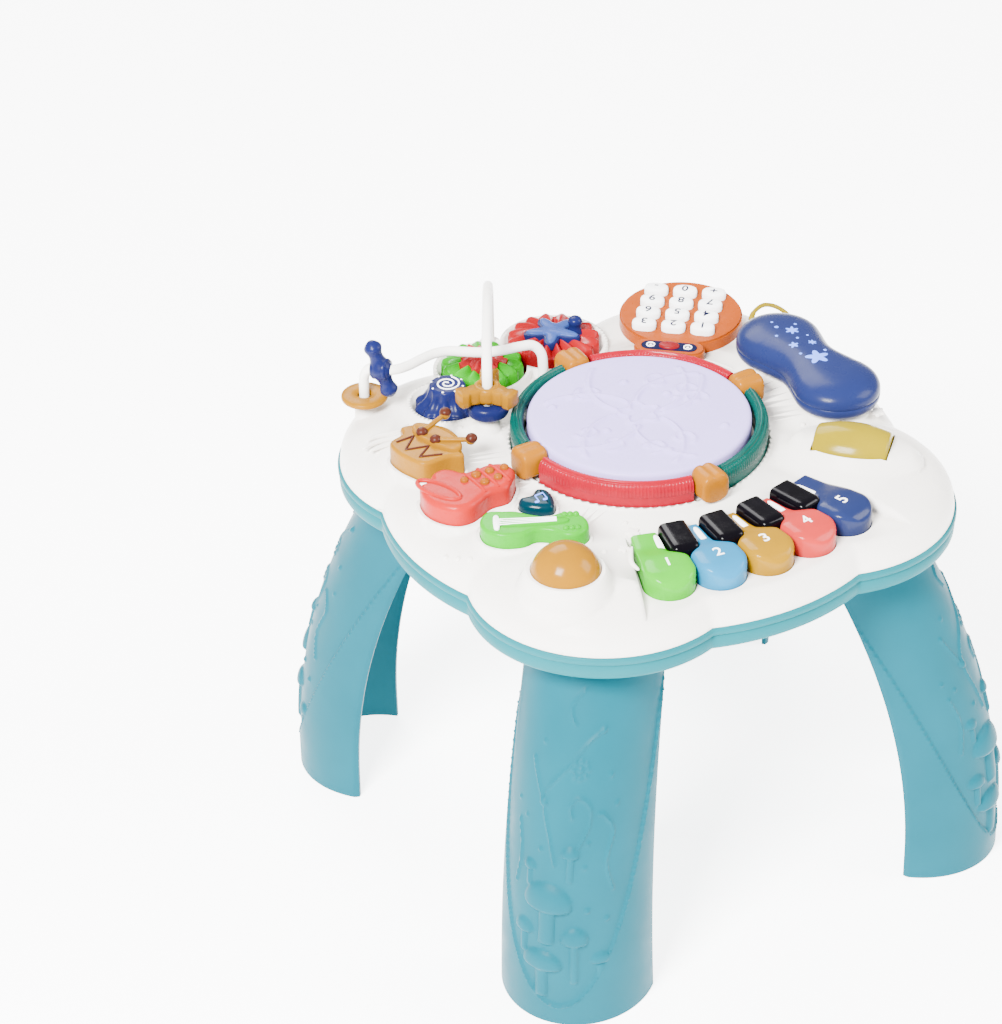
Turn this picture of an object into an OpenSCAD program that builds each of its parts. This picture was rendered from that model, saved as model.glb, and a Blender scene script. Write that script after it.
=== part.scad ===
// Musical activity table for a small child: a lobed play top on four splayed legs.
// Units are millimetres. The origin is on the floor under the middle of the top.
// +Z is up, the piano keys are at -Y, the gears and the dial at +Y, the handset at +X.

/* [Table top] */
// Height of the playing surface above the floor
table_h = 288; // [240:1:340]
// Rise of the white cover from its seam to the playing surface
cover_rise = 26.5; // [22:0.5:34]
// Height of the teal tray below the seam
rim_h = 16.5; // [14:0.5:24]
// Radius of the bulge on each side
side_r = 159.2; // [156:0.2:162]
// Distance of each side bulge's centre from the middle
side_offset = 15.8; // [13:0.2:19]
// Radius of each corner lobe
corner_r = 87.3; // [85:0.1:90]
// X and Y distance of each corner lobe's centre from the middle
corner_offset = 82.3; // [80:0.1:84]
// Wall of the white cover
cover_wall = 2.5; // [2:0.1:3]
// Wall of the teal tray
tray_wall = 2.5; // [2:0.1:3.5]

/* [Legs] */
// Furthest reach of a leg's outer face along the table's diagonal
leg_reach = 244.5; // [230:0.5:260]
// How far a leg has come inwards where it meets the tray
leg_lean = 66; // [50:1:80]
// Height of the straight foot before the leg bends inwards
leg_foot_h = 20; // [10:1:40]
// Half the width of a leg at the floor
leg_half_w = 49; // [40:1:54]
// Half the width of a leg at the tray
leg_top_half_w = 44; // [36:1:48]
// Depth of the leg's open channel
leg_depth = 54; // [44:1:60]
// Wall of a leg
leg_wall = 2.8; // [2:0.1:4]

/* [Drum] */
// Place of the drum's centre along X
drum_x = 1; // [-4:0.5:6]
// Place of the drum's centre along Y
drum_y = 8; // [4:0.5:12]
// Radius of the drum head
drum_r = 73; // [68:0.5:76]
// Height of the drum head above the playing surface
drum_top = 19; // [15:0.5:24]
// Travel of the drum head when it is hit
drum_travel = 2; // [1:0.1:3]
// Width of the coloured light tubes round the drum
arc_w = 11; // [8:0.5:13]
// Height of the coloured light tubes above the playing surface
arc_top = 18; // [15:0.5:19]
// Half the angle of one light tube
arc_half = 37; // [30:0.5:40]
// Width of the orange clips
clip_w = 20; // [16:0.5:24]
// Reach of the orange clips beyond the light tubes
clip_out = 8.5; // [6:0.5:10]
// Height of the orange clips above the playing surface
clip_top = 21; // [19:0.5:23]

/* [Piano] */
// Y of the point that all the keys fan out from
fan_y = 82.4; // [80:0.2:85]
// Distance from the fan point to the back of the keys
key_back_r = 183; // [180:0.5:184]
// Length of a key from its back to the centre of its round front
key_neck = 42.7; // [40:0.1:44]
// Radius of a key's round front
key_lobe_r = 16.6; // [15:0.1:16.8]
// Angle between two keys
key_pitch = 8.55; // [8.4:0.01:8.8]
// Height of the keys' tops above the playing surface
key_rise = 2; // [0:0.5:3]
// Depth of the fan-shaped recess below the playing surface
recess_depth = 9; // [8:0.5:11]
// How far a key turns down when it is pressed
key_press = 3.5; // [2:0.1:4]
// Radius of a key's hinge pin
key_pin_r = 1.5; // [1:0.1:1.8]
// Width of a black key
black_w = 19; // [16:0.5:20]
// Length of a black key
black_len = 29; // [25:0.5:31]
// Height of the black keys above the coloured keys
black_proud = 6.5; // [4:0.5:8]

/* [Gears] */
// Place of the red gear along X
red_gear_x = 11.8; // [10:0.1:14]
// Place of the red gear along Y
red_gear_y = 133.7; // [132:0.1:135]
// Pitch radius per tooth
gear_module = 1.9067; // [1.88:0.0001:1.92]
// Half the height of a tooth wave
tooth_wave = 1.3; // [1:0.05:1.4]
// Gap between two meshing tooth waves
mesh_gap = 0.4; // [0.3:0.05:0.6]
// Direction from the red gear to the green gear
green_dir = 182.3; // [180:0.1:184]
// Direction from the green gear to the blue gear
blue_dir = 211.1; // [209:0.1:213]
// Height of the gears above the playing surface
gear_top = 13; // [11:0.5:14]
// Depth of the gear cups below the playing surface
cup_depth = 9; // [7:0.5:11]
// Height of the cup rims above the playing surface
cup_rim_h = 4; // [2:0.5:6]
// Radius of the posts that the gears turn on
gear_post_r = 4; // [3:0.1:5]

/* [Dial] */
// Place of the dial's centre along X
dial_x = 101.8; // [100:0.2:103]
// Place of the dial's centre along Y
dial_y = 114.6; // [113:0.2:116]
// Radius of the dial
dial_r = 42; // [40:0.5:43]
// Height of the dial above the playing surface
dial_h = 9; // [8:0.5:12]
// Direction that a row of three buttons runs in
dial_turn = 139; // [135:0.5:143]
// Distance between buttons along a row
button_step_a = 20; // [19:0.1:21]
// Distance between rows of buttons
button_step_b = 15.6; // [15:0.1:16]
// Long width of an oval button
button_long = 16.5; // [14:0.1:17]
// Short width of an oval button
button_short = 11.5; // [9:0.1:12]
// Travel of an oval button
button_travel = 1.2; // [0.8:0.1:1.5]

/* [Handset] */
// Place of the handset's centre along X
handset_x = 132.5; // [131:0.5:134]
// Place of the handset's centre along Y
handset_y = 6.8; // [4:0.2:8]
// Radius of the two round ends
handset_end_r = 29; // [26:0.5:30]
// Distance of each end's centre from the middle
handset_half = 33.7; // [32:0.1:36]
// Half the width of the waist
handset_waist = 21; // [18:0.5:24]
// Thickness of the whole handset
handset_h = 26; // [22:0.5:30]
// Diameter of the yellow cord
cord_d = 3; // [2.6:0.1:3.4]

/* [Rails and beads] */
// Radius of the white rails
rail_r = 3.3; // [3:0.1:3.6]
// Height of the low rail's centre above the playing surface
low_rail_h = 31; // [28:0.5:34]
// Height of the arch's crown above the playing surface
arch_h = 64; // [60:0.5:70]
// Height where the arch leaves its straight feet
arch_foot_h = 38; // [36:0.5:40]
// Radius of the yellow ring bead
yellow_ring_r = 15.5; // [14:0.1:16]
// Radius of the blue ring bead
blue_ring_r = 14; // [12:0.1:14.5]
// Reach of the orange slider's three arms
orange_arm = 21.5; // [18:0.5:22]
// Distance from the blue slider's bore to the middle of each of its knobs
blue_arm = 16.2; // [14:0.1:16.4]

/* [Picture buttons] */
// Height of the drum button above the playing surface
drum_button_top = 15; // [11:0.5:17]
// Height of the saxophone button above the playing surface
sax_button_top = 15; // [11:0.5:17]
// Height of the guitar button above the playing surface
guitar_button_top = 11.5; // [9:0.5:13]
// Height of the heart button above the playing surface
heart_button_top = 8; // [6:0.5:12]
// Travel of the picture buttons
press_travel = 2; // [1:0.1:2.5]

/* [Ball and roller] */
// Place of the ball along X
ball_x = -125.9; // [-128:0.1:-124]
// Place of the ball along Y
ball_y = -108.6; // [-110:0.1:-107]
// Radius of the ball
ball_r = 22.7; // [21:0.1:23]
// Height of the ball's centre above the playing surface
ball_rise = 5.3; // [4:0.1:7]
// Height of the white ring round the ball
ball_ring_h = 11; // [9:0.5:12]
// Place of the roller along X
roller_x = 107.6; // [106:0.2:109]
// Place of the roller along Y
roller_y = -81.6; // [-83:0.2:-80]
// Direction of the roller's axis
roller_turn = -46; // [-50:1:-42]
// Radius of the roller in its middle
roller_mid_r = 21; // [19:0.2:22]
// Radius of the roller at its ends
roller_end_r = 17; // [15:0.2:18]
// Length of the roller
roller_len = 49; // [44:0.5:52]
// Depth of the roller's axle below the playing surface
roller_depth = 0.5; // [0:0.5:2]
// Radius of the roller's axle
axle_r = 2.5; // [2:0.1:3]

/* [Inside] */
// Diameter of a battery cell
cell_d = 14.2; // [14:0.1:14.5]
// Length of a battery cell
cell_len = 49.5; // [49:0.1:50.5]
// Diameter of the loudspeaker
speaker_d = 50; // [40:1:57]
// Thickness of a circuit board
board_t = 1.6; // [1:0.1:2]
// Travel of the power switch to each side
switch_throw = 2.5; // [1.5:0.1:3]

/* [Clearances] */
// Gap round a pressed button in its well
slide_gap = 0.5; // [0.4:0.05:0.7]
// Radial gap of a shaft in its bore
run_gap = 0.05; // [0.02:0.01:0.09]
// Gap between a piece and what stops or carries it
seat_gap = 0.3; // [0.25:0.05:0.4]

/* [Hidden] */
$fn = 48;

// Heights of the case
seam_z = table_h - cover_rise;
tray_z = seam_z - rim_h;
deck_under_z = table_h - cover_wall;
tray_floor_z = tray_z + tray_wall;

// ---------------------------------------------------------------- shared helpers

// Points of a closed curve that passes through the given points, four steps between two
function closed_curve(p, steps = 4) =
    let (n = len(p))
    [for (i = [0:n - 1]) for (s = [0:steps - 1])
        let (t = s / steps, a = p[(i + n - 1) % n], b = p[i], c = p[(i + 1) % n],
            d = p[(i + 2) % n])
        0.5 * (2 * b + (c - a) * t + (2 * a - 5 * b + 4 * c - d) * t * t
            + (3 * b - a - 3 * c + d) * t * t * t)];

// Points of an open curve through the given points
function open_curve(p, steps = 4) =
    let (n = len(p))
    concat([for (i = [0:n - 2]) for (s = [0:steps - 1])
        let (t = s / steps, a = p[max(i - 1, 0)], b = p[i], c = p[i + 1],
            d = p[min(i + 2, n - 1)])
        0.5 * (2 * b + (c - a) * t + (2 * a - 5 * b + 4 * c - d) * t * t
            + (3 * b - a - 3 * c + d) * t * t * t)], [p[n - 1]]);

function unit(v) = v / norm(v);

// A counter-clockwise outline moved outwards by d along its corner normals
function grown(p, d) =
    let (n = len(p))
    [for (i = [0:n - 1])
        let (e = unit(p[(i + 1) % n] - p[(i + n - 1) % n]))
        p[i] + d * [e[1], -e[0]]];

// Closed skin through rings that all have the same number of points, given from low to high.
// The ends of a channel, whose ring runs out along one face and back along the other, are
// strips of small faces.
module skin(rings, channel = false) {
    n = len(rings[0]);
    m = len(rings);
    top = (m - 1) * n;
    points = [for (ring = rings) for (p = ring) p];
    sides = [for (k = [0:m - 2]) for (i = [0:n - 1])
        let (j = (i + 1) % n)
        each [[k * n + i, (k + 1) * n + j, k * n + j],
            [k * n + i, (k + 1) * n + i, (k + 1) * n + j]]];
    ends = channel
        ? [for (i = [0:n / 2 - 2]) each [[i, i + 1, n - 2 - i], [i, n - 2 - i, n - 1 - i],
            [top + n - 2 - i, top + i + 1, top + i], [top + n - 1 - i, top + n - 2 - i, top + i]]]
        : [[for (i = [0:n - 1]) i], [for (i = [n - 1:-1:0]) top + i]];
    polyhedron(points, concat(sides, ends), convexity = 8);
}

// A pad over an outline: steps is a list of [height, inset]
module pad(outline, steps) {
    skin([for (s = steps) [for (p = grown(outline, -s[1])) [p[0], p[1], s[0]]]]);
}

// Unit tangents of a path
function tangents(p) =
    let (n = len(p))
    [for (i = [0:n - 1]) unit(p[min(i + 1, n - 1)] - p[max(i - 1, 0)])];

// Normals that turn as little as they can along the path
function normals(t, i = 0, last = [0, 0, 1], done = []) =
    i == len(t) ? done
    : let (v = last - (last * t[i]) * t[i], w = unit(v))
        normals(t, i + 1, w, concat(done, [w]));

// A round tube of the given radius along a path; start is any direction across its beginning
module tube(path, r, sides, start) {
    t = tangents(path);
    u = normals(t, 0, start);
    skin([for (i = [0:len(path) - 1])
        let (w = cross(t[i], u[i]))
        [for (k = [0:sides - 1])
            path[i] + r * (cos(360 * k / sides) * u[i] + sin(360 * k / sides) * w)]]);
}

module ring(r_out, r_in, z0, z1) {
    rotate_extrude($fn = 96)
        translate([r_in, z0]) square([r_out - r_in, z1 - z0]);
}

module rod(r, z0, z1) {
    translate([0, 0, z0]) cylinder(r = r, h = z1 - z0);
}

module slab(outline, z0, z1) {
    translate([0, 0, z0]) linear_extrude(z1 - z0) polygon(outline);
}

// A disc with rounded top edge, from z0 to z1
module round_top_disc(r, z0, z1, edge) {
    rotate_extrude($fn = 96) {
        translate([0, z0]) square([r, z1 - z0 - edge]);
        translate([0, z0]) square([r - edge, z1 - z0]);
        intersection() {
            translate([r - edge, z1 - edge]) circle(r = edge, $fn = 32);
            translate([0, z0]) square([r, z1 - z0]);
        }
    }
}

// ---------------------------------------------------------------- case

// Centres and radii of the eight lobes of the top's outline
function lobes() = concat(
    [for (a = [0:90:270]) [side_offset * cos(a), side_offset * sin(a), side_r]],
    [for (a = [45:90:315])
        [corner_offset * sqrt(2) * cos(a), corner_offset * sqrt(2) * sin(a), corner_r]]);

module outline_2d(inset = 0) {
    for (c = lobes()) translate([c[0], c[1]]) circle(r = c[2] - inset, $fn = 96);
}

// Soft edge of the white top: [distance in from the edge, share of the rise]
edge_curve = [[0, 0], [1, 0.26], [4.5, 0.5], [10.5, 0.7], [18, 0.84], [27, 0.94], [40, 1]];

module pillow(inset, drop) {
    rise = cover_rise - drop;
    for (c = lobes()) translate([c[0], c[1], seam_z])
        rotate_extrude($fn = 96)
            polygon(concat([[0, 0]], [for (e = edge_curve) [c[2] - inset - e[0], e[1] * rise]],
                [[0, rise]]));
}

screw_spots = [for (s = [[158, 96], [96, 158]]) for (a = [0, 1]) for (b = [0, 1])
    [s[0] * (1 - 2 * a), s[1] * (1 - 2 * b)]];
screw_r = 1.4;
boss_r = 4;

// Seats under the cover: everything that is cut from it or added to it, by sub-part
module at_drum() { translate([drum_x, drum_y, 0]) children(); }
module at_ball() { translate([ball_x, ball_y, table_h + ball_rise]) children(); }
module at_roller() {
    translate([roller_x, roller_y, table_h - roller_depth]) rotate([0, 0, roller_turn]) children();
}
module at_dial() { translate([dial_x, dial_y, 0]) children(); }
module at_handset() { translate([handset_x, handset_y, 0]) children(); }

mound_outline = [for (a = [0:15:345]) [47 * cos(a), 29 * sin(a)]];
mound_h = 9;

module roller_mound() {
    translate([roller_x, roller_y, 0]) rotate([0, 0, roller_turn])
        pad(mound_outline, [[deck_under_z - 12, 0], [table_h - 1, 0], [table_h + 3, 4],
            [table_h + mound_h, 9]]);
}

module cover_blank() {
    difference() {
        union() {
            pillow(0, 0);
            at_drum() rod(drum_r + arc_w + 3, seam_z + 8, table_h + 1.5);
            gear_cup_walls();
            translate([0, 0, deck_under_z - 12]) linear_extrude(cradle_z - deck_under_z + 12)
                handset_2d(-5);
            roller_mound();
            for (w = wells()) slab(grown(w, slide_gap + well_wall), well_z, table_h + well_lip);
            at_ball() ball_ring();
            for (f = rail_feet()) translate([f[0], f[1], 0]) rod(f[4], seam_z + 6, f[2]);
        }
        difference() {
            translate([0, 0, -0.01]) pillow(cover_wall, cover_wall);
            cover_solids();
        }
    }
}

// Solid stock that stays inside the hollow cover
module cover_solids() {
    gear_cup_walls();
    for (w = wells()) slab(grown(w, slide_gap + well_wall), well_z, table_h);
    at_ball() sphere(r = ball_r + seat_gap + cover_wall, $fn = 64);
    roller_bearings();
    recess_walls();
    for (f = rail_feet()) translate([f[0], f[1], 0]) rod(f[4], f[3], table_h);
    for (s = screw_spots) translate([s[0], s[1], 0]) rod(boss_r, seam_z, table_h);
    key_brackets();
    at_dial() for (a = [0:120:240]) rotate([0, 0, a + dial_turn]) translate([dial_boss_at, 0, 0])
        rod(boss_r - 1, keypad_z + board_t, table_h);
}

// The cover with room for the drum, the light tubes and their clips, the gears and the ball
module cover_with_seats() {
    difference() {
        cover_blank();
        at_drum() rod(drum_r + slide_gap, seam_z - 1, table_h + 30);
        at_drum() ring(drum_r + arc_w + 0.6, drum_r + 2, table_h - 1, table_h + 3);
        clip_seats();
        gear_cup_hollows();
        at_ball() sphere(r = ball_r + seat_gap, $fn = 64);
    }
}

// Then the wells of the picture buttons and the roller's housing
module cover_with_wells() {
    difference() {
        cover_with_seats();
        for (w = wells()) slab(grown(w, slide_gap), seam_z - 1, table_h + 30);
        roller_hollow();
    }
}

// Then the piano's recess
module cover_with_piano() {
    difference() {
        cover_with_wells();
        recess_hollow();
        key_openings();
    }
}

module top_cover() {
    color([0.95, 0.94, 0.91]) difference() {
        cover_with_piano();
        at_dial() rod(keypad_r + 1, seam_z - 1, table_h + 30);
        for (s = screw_spots) translate([s[0], s[1], 0]) rod(screw_r, seam_z - 1, seam_z + 9);
        for (f = rail_feet()) translate([f[0], f[1], 0]) rod(rail_r + 0.05, f[3] + 2, f[2] + 1);
    }
}

battery_pitch = cell_d + 0.6;
box_w = 3 * battery_pitch + 1;
box_l = cell_len + 7;
box_wall = 1.6;
box_top_z = tray_floor_z + cell_d + 1;
door_t = 2;
door_lap = 4;
door_sunk = 1.3;
door_screw_at = [0, -box_l / 2 - door_lap - 3];
door_tab_r = 5;

// Outline of the battery door, with a round tab for its screw; g grows it
module door_2d(g) {
    square([box_w + 2 * door_lap + 2 * g, box_l + 2 * door_lap + 2 * g], center = true);
    translate(door_screw_at) circle(r = door_tab_r + g);
}

module tray_shell() {
    translate([0, 0, tray_z + 4]) linear_extrude(rim_h - 4) outline_2d();
    translate([0, 0, tray_z + 1.5]) linear_extrude(2.6) outline_2d(1);
    translate([0, 0, tray_z]) linear_extrude(1.6) outline_2d(3);
}

// Half-round lug that hangs below the front edge
lug_x = -17;
lug_y = -160;
lug_r = 5;

leg_dirs = [225, 315, 135, 45];
tongue_w = 12;
tongue_at = 22;
tongue_radial = leg_reach - leg_lean - leg_depth + 30;

module base_tray() {
    color([0.35, 0.75, 0.77]) {
        difference() {
            tray_shell();
            translate([0, 0, tray_floor_z]) linear_extrude(rim_h) outline_2d(3 + tray_wall);
            translate([0, 0, tray_floor_z + 2]) linear_extrude(rim_h) outline_2d(tray_wall);
            translate([-box_w / 2, -box_l / 2, tray_z - 1]) cube([box_w, box_l, tray_wall + 2]);
            translate([0, 0, tray_z - 1]) linear_extrude(door_sunk + 1) door_2d(0);
            translate(door_screw_at) rod(screw_r, tray_z - 1, tray_floor_z + 5);
            for (x = [-20:5:20]) translate([speaker_x + x, speaker_y, tray_z - 1])
                hull_slot(2 * sqrt(22 * 22 - x * x) - 2);
            for (d = leg_dirs) rotate([0, 0, d]) for (s = [-1, 1])
                translate([tongue_radial - 0.3, s * tongue_at - tongue_w / 2 - 0.3, tray_z - 1])
                    cube([2.6, tongue_w + 0.6, tray_wall + 2]);
            translate([switch_x - 5 - switch_throw - seat_gap, switch_y - 3, tray_z - 1])
                cube([10 + 2 * (switch_throw + seat_gap), 6, tray_wall + 2]);
            for (s = screw_spots) translate([s[0], s[1], 0])
                rod(screw_r + 0.3, tray_z - 1, tray_floor_z + 2);
        }
        for (s = screw_spots) translate([s[0], s[1], 0]) difference() {
            rod(boss_r, tray_floor_z, seam_z);
            rod(screw_r + 0.3, tray_floor_z - 1, seam_z + 1);
        }
        difference() {
            translate([-box_w / 2 - box_wall, -box_l / 2 - box_wall, tray_floor_z])
                cube([box_w + 2 * box_wall, box_l + 2 * box_wall, cell_d + 1 + box_wall]);
            translate([-box_w / 2, -box_l / 2, tray_floor_z - 1]) cube([box_w, box_l, cell_d + 2]);
        }
        translate([lug_x, lug_y, tray_z - 1.5]) rotate([90, 0, 0])
            cylinder(r = lug_r, h = 2.5, center = true);
        translate(door_screw_at) difference() {
            rod(3.2, tray_floor_z, tray_floor_z + 6);
            rod(screw_r, tray_floor_z - 1, tray_floor_z + 5);
        }
        for (s = board_posts()) translate([s[0], s[1], 0]) rod(3, tray_floor_z, s[2]);
        translate([speaker_x, speaker_y, 0])
            ring(speaker_d / 2 + 2.2, speaker_d / 2 + seat_gap, tray_floor_z, tray_floor_z + 5);
    }
}

// A slot with round ends along Y, cut through the tray floor
module hull_slot(l) {
    translate([-1.1, -l / 2, 0]) cube([2.2, l, tray_wall + 2]);
    for (s = [-1, 1]) translate([0, s * l / 2, 0]) cylinder(r = 1.1, h = tray_wall + 2);
}

// A screw with a cross in its head: z is where its head seats, tip is where it ends
module screw(z, tip) {
    rod(screw_r - 0.02, z - 0.05, tip);
    difference() {
        rod(screw_r + 1.4, z - 1.6, z);
        translate([-2, -0.4, z - 2]) cube([4, 0.8, 1]);
        translate([-0.4, -2, z - 2]) cube([0.8, 4, 1]);
    }
}

module case_screws() {
    color([0.7, 0.7, 0.72]) {
        for (s = screw_spots) translate([s[0], s[1], 0]) screw(tray_z, seam_z + 8);
        translate(door_screw_at) screw(tray_z + door_sunk - door_t, tray_floor_z + 4.5);
    }
}

// Plate in a shallow recess of the tray, with five grip ribs at the end away from its screw
module battery_door() {
    under = tray_z + door_sunk - door_t;
    color([0.35, 0.75, 0.77]) difference() {
        union() {
            translate([0, 0, under]) linear_extrude(door_t) door_2d(-seat_gap);
            for (x = [-16, -8, 0, 8, 16]) translate([x - 1, box_l / 2 - 10, under - 0.5])
                cube([2, 8, 1]);
        }
        translate(door_screw_at) rod(screw_r + 0.3, under - 1, tray_z + 2);
    }
}

module batteries() {
    color([0.25, 0.25, 0.28]) for (i = [-1, 0, 1])
        translate([i * battery_pitch, 0, tray_floor_z - 0.6 + cell_d / 2]) rotate([90, 0, 0]) {
            translate([0, 0, -cell_len / 2 + 0.8]) cylinder(r = cell_d / 2, h = cell_len - 2);
            translate([0, 0, -cell_len / 2]) cylinder(r = 4.6, h = 1);
            translate([0, 0, cell_len / 2 - 1.4]) cylinder(r = 2.7, h = 1.4);
        }
}

module battery_contacts() {
    color([0.8, 0.8, 0.78]) for (i = [-1, 0, 1]) for (s = [-1, 1])
        translate([i * battery_pitch, s * (box_l / 2 - 0.5), tray_floor_z - 0.6 + cell_d / 2]) {
            translate([-5, -0.25, -5]) cube([10, 0.5, 10]);
            rotate([s * 90, 0, 0]) for (k = [0:2])
                translate([0, 0, k * 0.85]) cylinder(r = 4 - 0.8 * k, h = 0.86);
        }
}

speaker_x = 20;
speaker_y = 106;

module speaker() {
    color([0.2, 0.2, 0.22]) translate([speaker_x, speaker_y, 0]) {
        ring(speaker_d / 2, speaker_d / 2 - 4, tray_floor_z, tray_floor_z + 3);
        rotate_extrude($fn = 64) polygon([[0, tray_floor_z + 3], [9, tray_floor_z + 3],
            [speaker_d / 2 - 3, tray_floor_z + 1], [speaker_d / 2 - 1, tray_floor_z + 2.9],
            [11, tray_floor_z + 7], [0, tray_floor_z + 7]]);
        rod(12, tray_floor_z + 7, tray_floor_z + 11);
    }
}

main_z = tray_floor_z + 3;
light_z = table_h - 17;
keypad_z = table_h - 12;
keypad_r = 34.5;
dial_boss_at = keypad_r + 5;

function board_posts() = concat(
    [for (x = [-50, 50]) for (y = [-92, -138]) [x, y, main_z]],
    [for (a = [45:90:315]) [drum_x + 50 * cos(a), drum_y + 50 * sin(a), light_z]]);

module main_board() {
    color([0.1, 0.45, 0.25]) {
        translate([-70, -144, main_z]) cube([140, 58, board_t]);
        for (p = [[-40, -100], [0, -104], [26, -100]])
            translate([p[0] - 5, p[1] - 5, main_z + board_t]) cube([10, 10, 2.5]);
        for (a = key_angles) at_fan(a, switch_at) translate([-3, -3, main_z + board_t]) cube([6, 6, 3.4]);
        at_dial() {
            rod(keypad_r - 0.5, keypad_z, keypad_z + board_t);
            for (i = [0:11]) translate(dial_spot(i)) rod(2, keypad_z + board_t, keypad_z + 2.4);
        }
        at_dial() for (a = [0:120:240]) rotate([0, 0, a + dial_turn])
            translate([dial_boss_at - 8, -4, keypad_z]) cube([11, 8, board_t]);
    }
}

module light_board() {
    color([0.92, 0.92, 0.9]) at_drum() {
        rod(60, light_z, light_z + board_t);
        rod(3.5, light_z + board_t, light_z + 4.5);
        for (a = [0:30:330]) rotate([0, 0, a]) translate([50, 0, 0])
            rod(2.5, light_z + board_t, light_z + 6);
    }
}

switch_x = 62;
switch_y = -30;

module power_switch() {
    color([0.15, 0.15, 0.17]) translate([switch_x, switch_y, 0]) {
        translate([-5, -2.6, tray_z - 1.5]) cube([10, 5.2, tray_wall + 1.8]);
        translate([-8, -5, tray_floor_z + seat_gap]) cube([16, 10, 3]);
    }
}

// ---------------------------------------------------------------- legs

// Distance of a leg's outer face from the table's axis at a height
function leg_out(z) =
    leg_reach - leg_lean * pow(max(z - leg_foot_h, 0) / (tray_z - leg_foot_h), 2);
function leg_w(z) = leg_half_w + (leg_top_half_w - leg_half_w) * z / tray_z;

// One level of the channel-shaped leg: out along the outer face and back along the inner one
function leg_ring(z) =
    let (c = leg_out(z) - leg_depth, n = 16)
    concat(
        [for (i = [0:n]) let (a = -90 + 180 * i / n)
            [c + leg_depth * cos(a), leg_w(z) * sin(a), z]],
        [for (i = [n:-1:0]) let (a = -90 + 180 * i / n)
            [c + (leg_depth - leg_wall) * cos(a), (leg_w(z) - leg_wall) * sin(a), z]]);

module leg(dir) {
    color([0.0, 0.71, 0.8]) rotate([0, 0, dir]) {
        skin([for (i = [0:12]) leg_ring(tray_z * i / 12)], channel = true);
        for (s = [-1, 1])
            translate([tongue_radial, s * tongue_at - tongue_w / 2, tray_z - 14]) {
                cube([2, tongue_w, 14 + tray_wall + 2]);
                translate([-1.2, 0, 14 + tray_wall + 0.3]) cube([2, tongue_w, 1.7]);
            }
        leg_web(tray_z - 14);
    }
}

// Flat web across the channel that carries the two snap tongues
module leg_web(z) {
    c = leg_out(z) - leg_depth;
    w = leg_w(z) - leg_wall + 0.4;
    d = leg_depth - leg_wall + 0.4;
    slab([for (i = [2:14]) let (a = -90 + 180 * i / 16) [c + d * cos(a), w * sin(a)]], z, z + 2.5);
}

module front_left_leg() { leg(leg_dirs[0]); }
module front_right_leg() { leg(leg_dirs[1]); }
module back_left_leg() { leg(leg_dirs[2]); }
module back_right_leg() { leg(leg_dirs[3]); }

// ---------------------------------------------------------------- drum

module drum_head() {
    top = table_h + drum_top;
    flange_z = deck_under_z - seat_gap;
    color([0.88, 0.87, 0.96]) at_drum() {
        difference() {
            round_top_disc(drum_r, flange_z - 2, top, 2.5);
            rod(drum_r - 2.5, flange_z - 3, top - 2.5);
        }
        difference() {
            rod(drum_r + 2.5, flange_z - 2, flange_z);
            rod(drum_r - 2, flange_z - 3, flange_z + 1);
        }
        rod(4, light_z + 4.5 + drum_travel + seat_gap, top - 2);
    }
}

module arc_piece(mid, r_in, r_out, z0, z1) {
    rotate([0, 0, mid - arc_half]) rotate_extrude(angle = 2 * arc_half, $fn = 96) {
        translate([r_in, z0]) square([r_out - r_in, z1 - z0 - 3.5]);
        translate([r_in + 3, z0]) square([r_out - r_in - 6, z1 - z0]);
        intersection() {
            for (x = [r_in + 3.5, r_out - 3.5]) translate([x, z1 - 3.5]) circle(r = 3.5, $fn = 32);
            translate([r_in, z0]) square([r_out - r_in, z1 - z0]);
        }
    }
}

module light_arcs(dirs) {
    at_drum() for (d = dirs)
        arc_piece(d, drum_r + 2.5, drum_r + arc_w, table_h - 1, table_h + arc_top);
}

module red_light_arcs() { color([0.9, 0.2, 0.28, 0.8]) light_arcs([45, 225]); }
module green_light_arcs() { color([0.0, 0.55, 0.47, 0.8]) light_arcs([135, 315]); }

// Room that the cover leaves for the four orange saddles
module clip_seats() {
    at_drum() for (a = [0:90:270]) rotate([0, 0, a])
        translate([drum_r + 1, -clip_w / 2 - seat_gap, table_h + 1.5])
            cube([arc_w + clip_out - 0.5, clip_w + 2 * seat_gap, clip_top + 4]);
}

// Orange saddle over the gap between two light tubes, with a groove along its crown
module ring_clips() {
    len = arc_w + clip_out - 1;
    color([0.98, 0.62, 0.28]) at_drum() for (a = [0:90:270]) rotate([0, 0, a])
        intersection() {
            difference() {
                translate([drum_r + 1, 0, 0]) union() {
                    translate([0, -clip_w / 2, table_h + 1.5]) cube([len, clip_w, clip_top - 7.5]);
                    translate([0, 0, table_h + clip_top - 7]) rotate([0, 90, 0])
                        intersection() {
                            cylinder(r = clip_w / 2 + 1, h = len);
                            translate([-7, -clip_w / 2, 0]) cube([14, clip_w, len]);
                        }
                }
                translate([drum_r, 0, table_h + clip_top + 0.6]) rotate([0, 90, 0])
                    cylinder(r = 1.4, h = len + 2);
            }
            translate([drum_r + len - 14, 0, 0]) union() {
                rod(clip_w / 2 + 4, table_h, table_h + clip_top);
                translate([-20, -clip_w, table_h]) cube([24, 2 * clip_w, clip_top]);
            }
        }
}

// ---------------------------------------------------------------- piano

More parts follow.
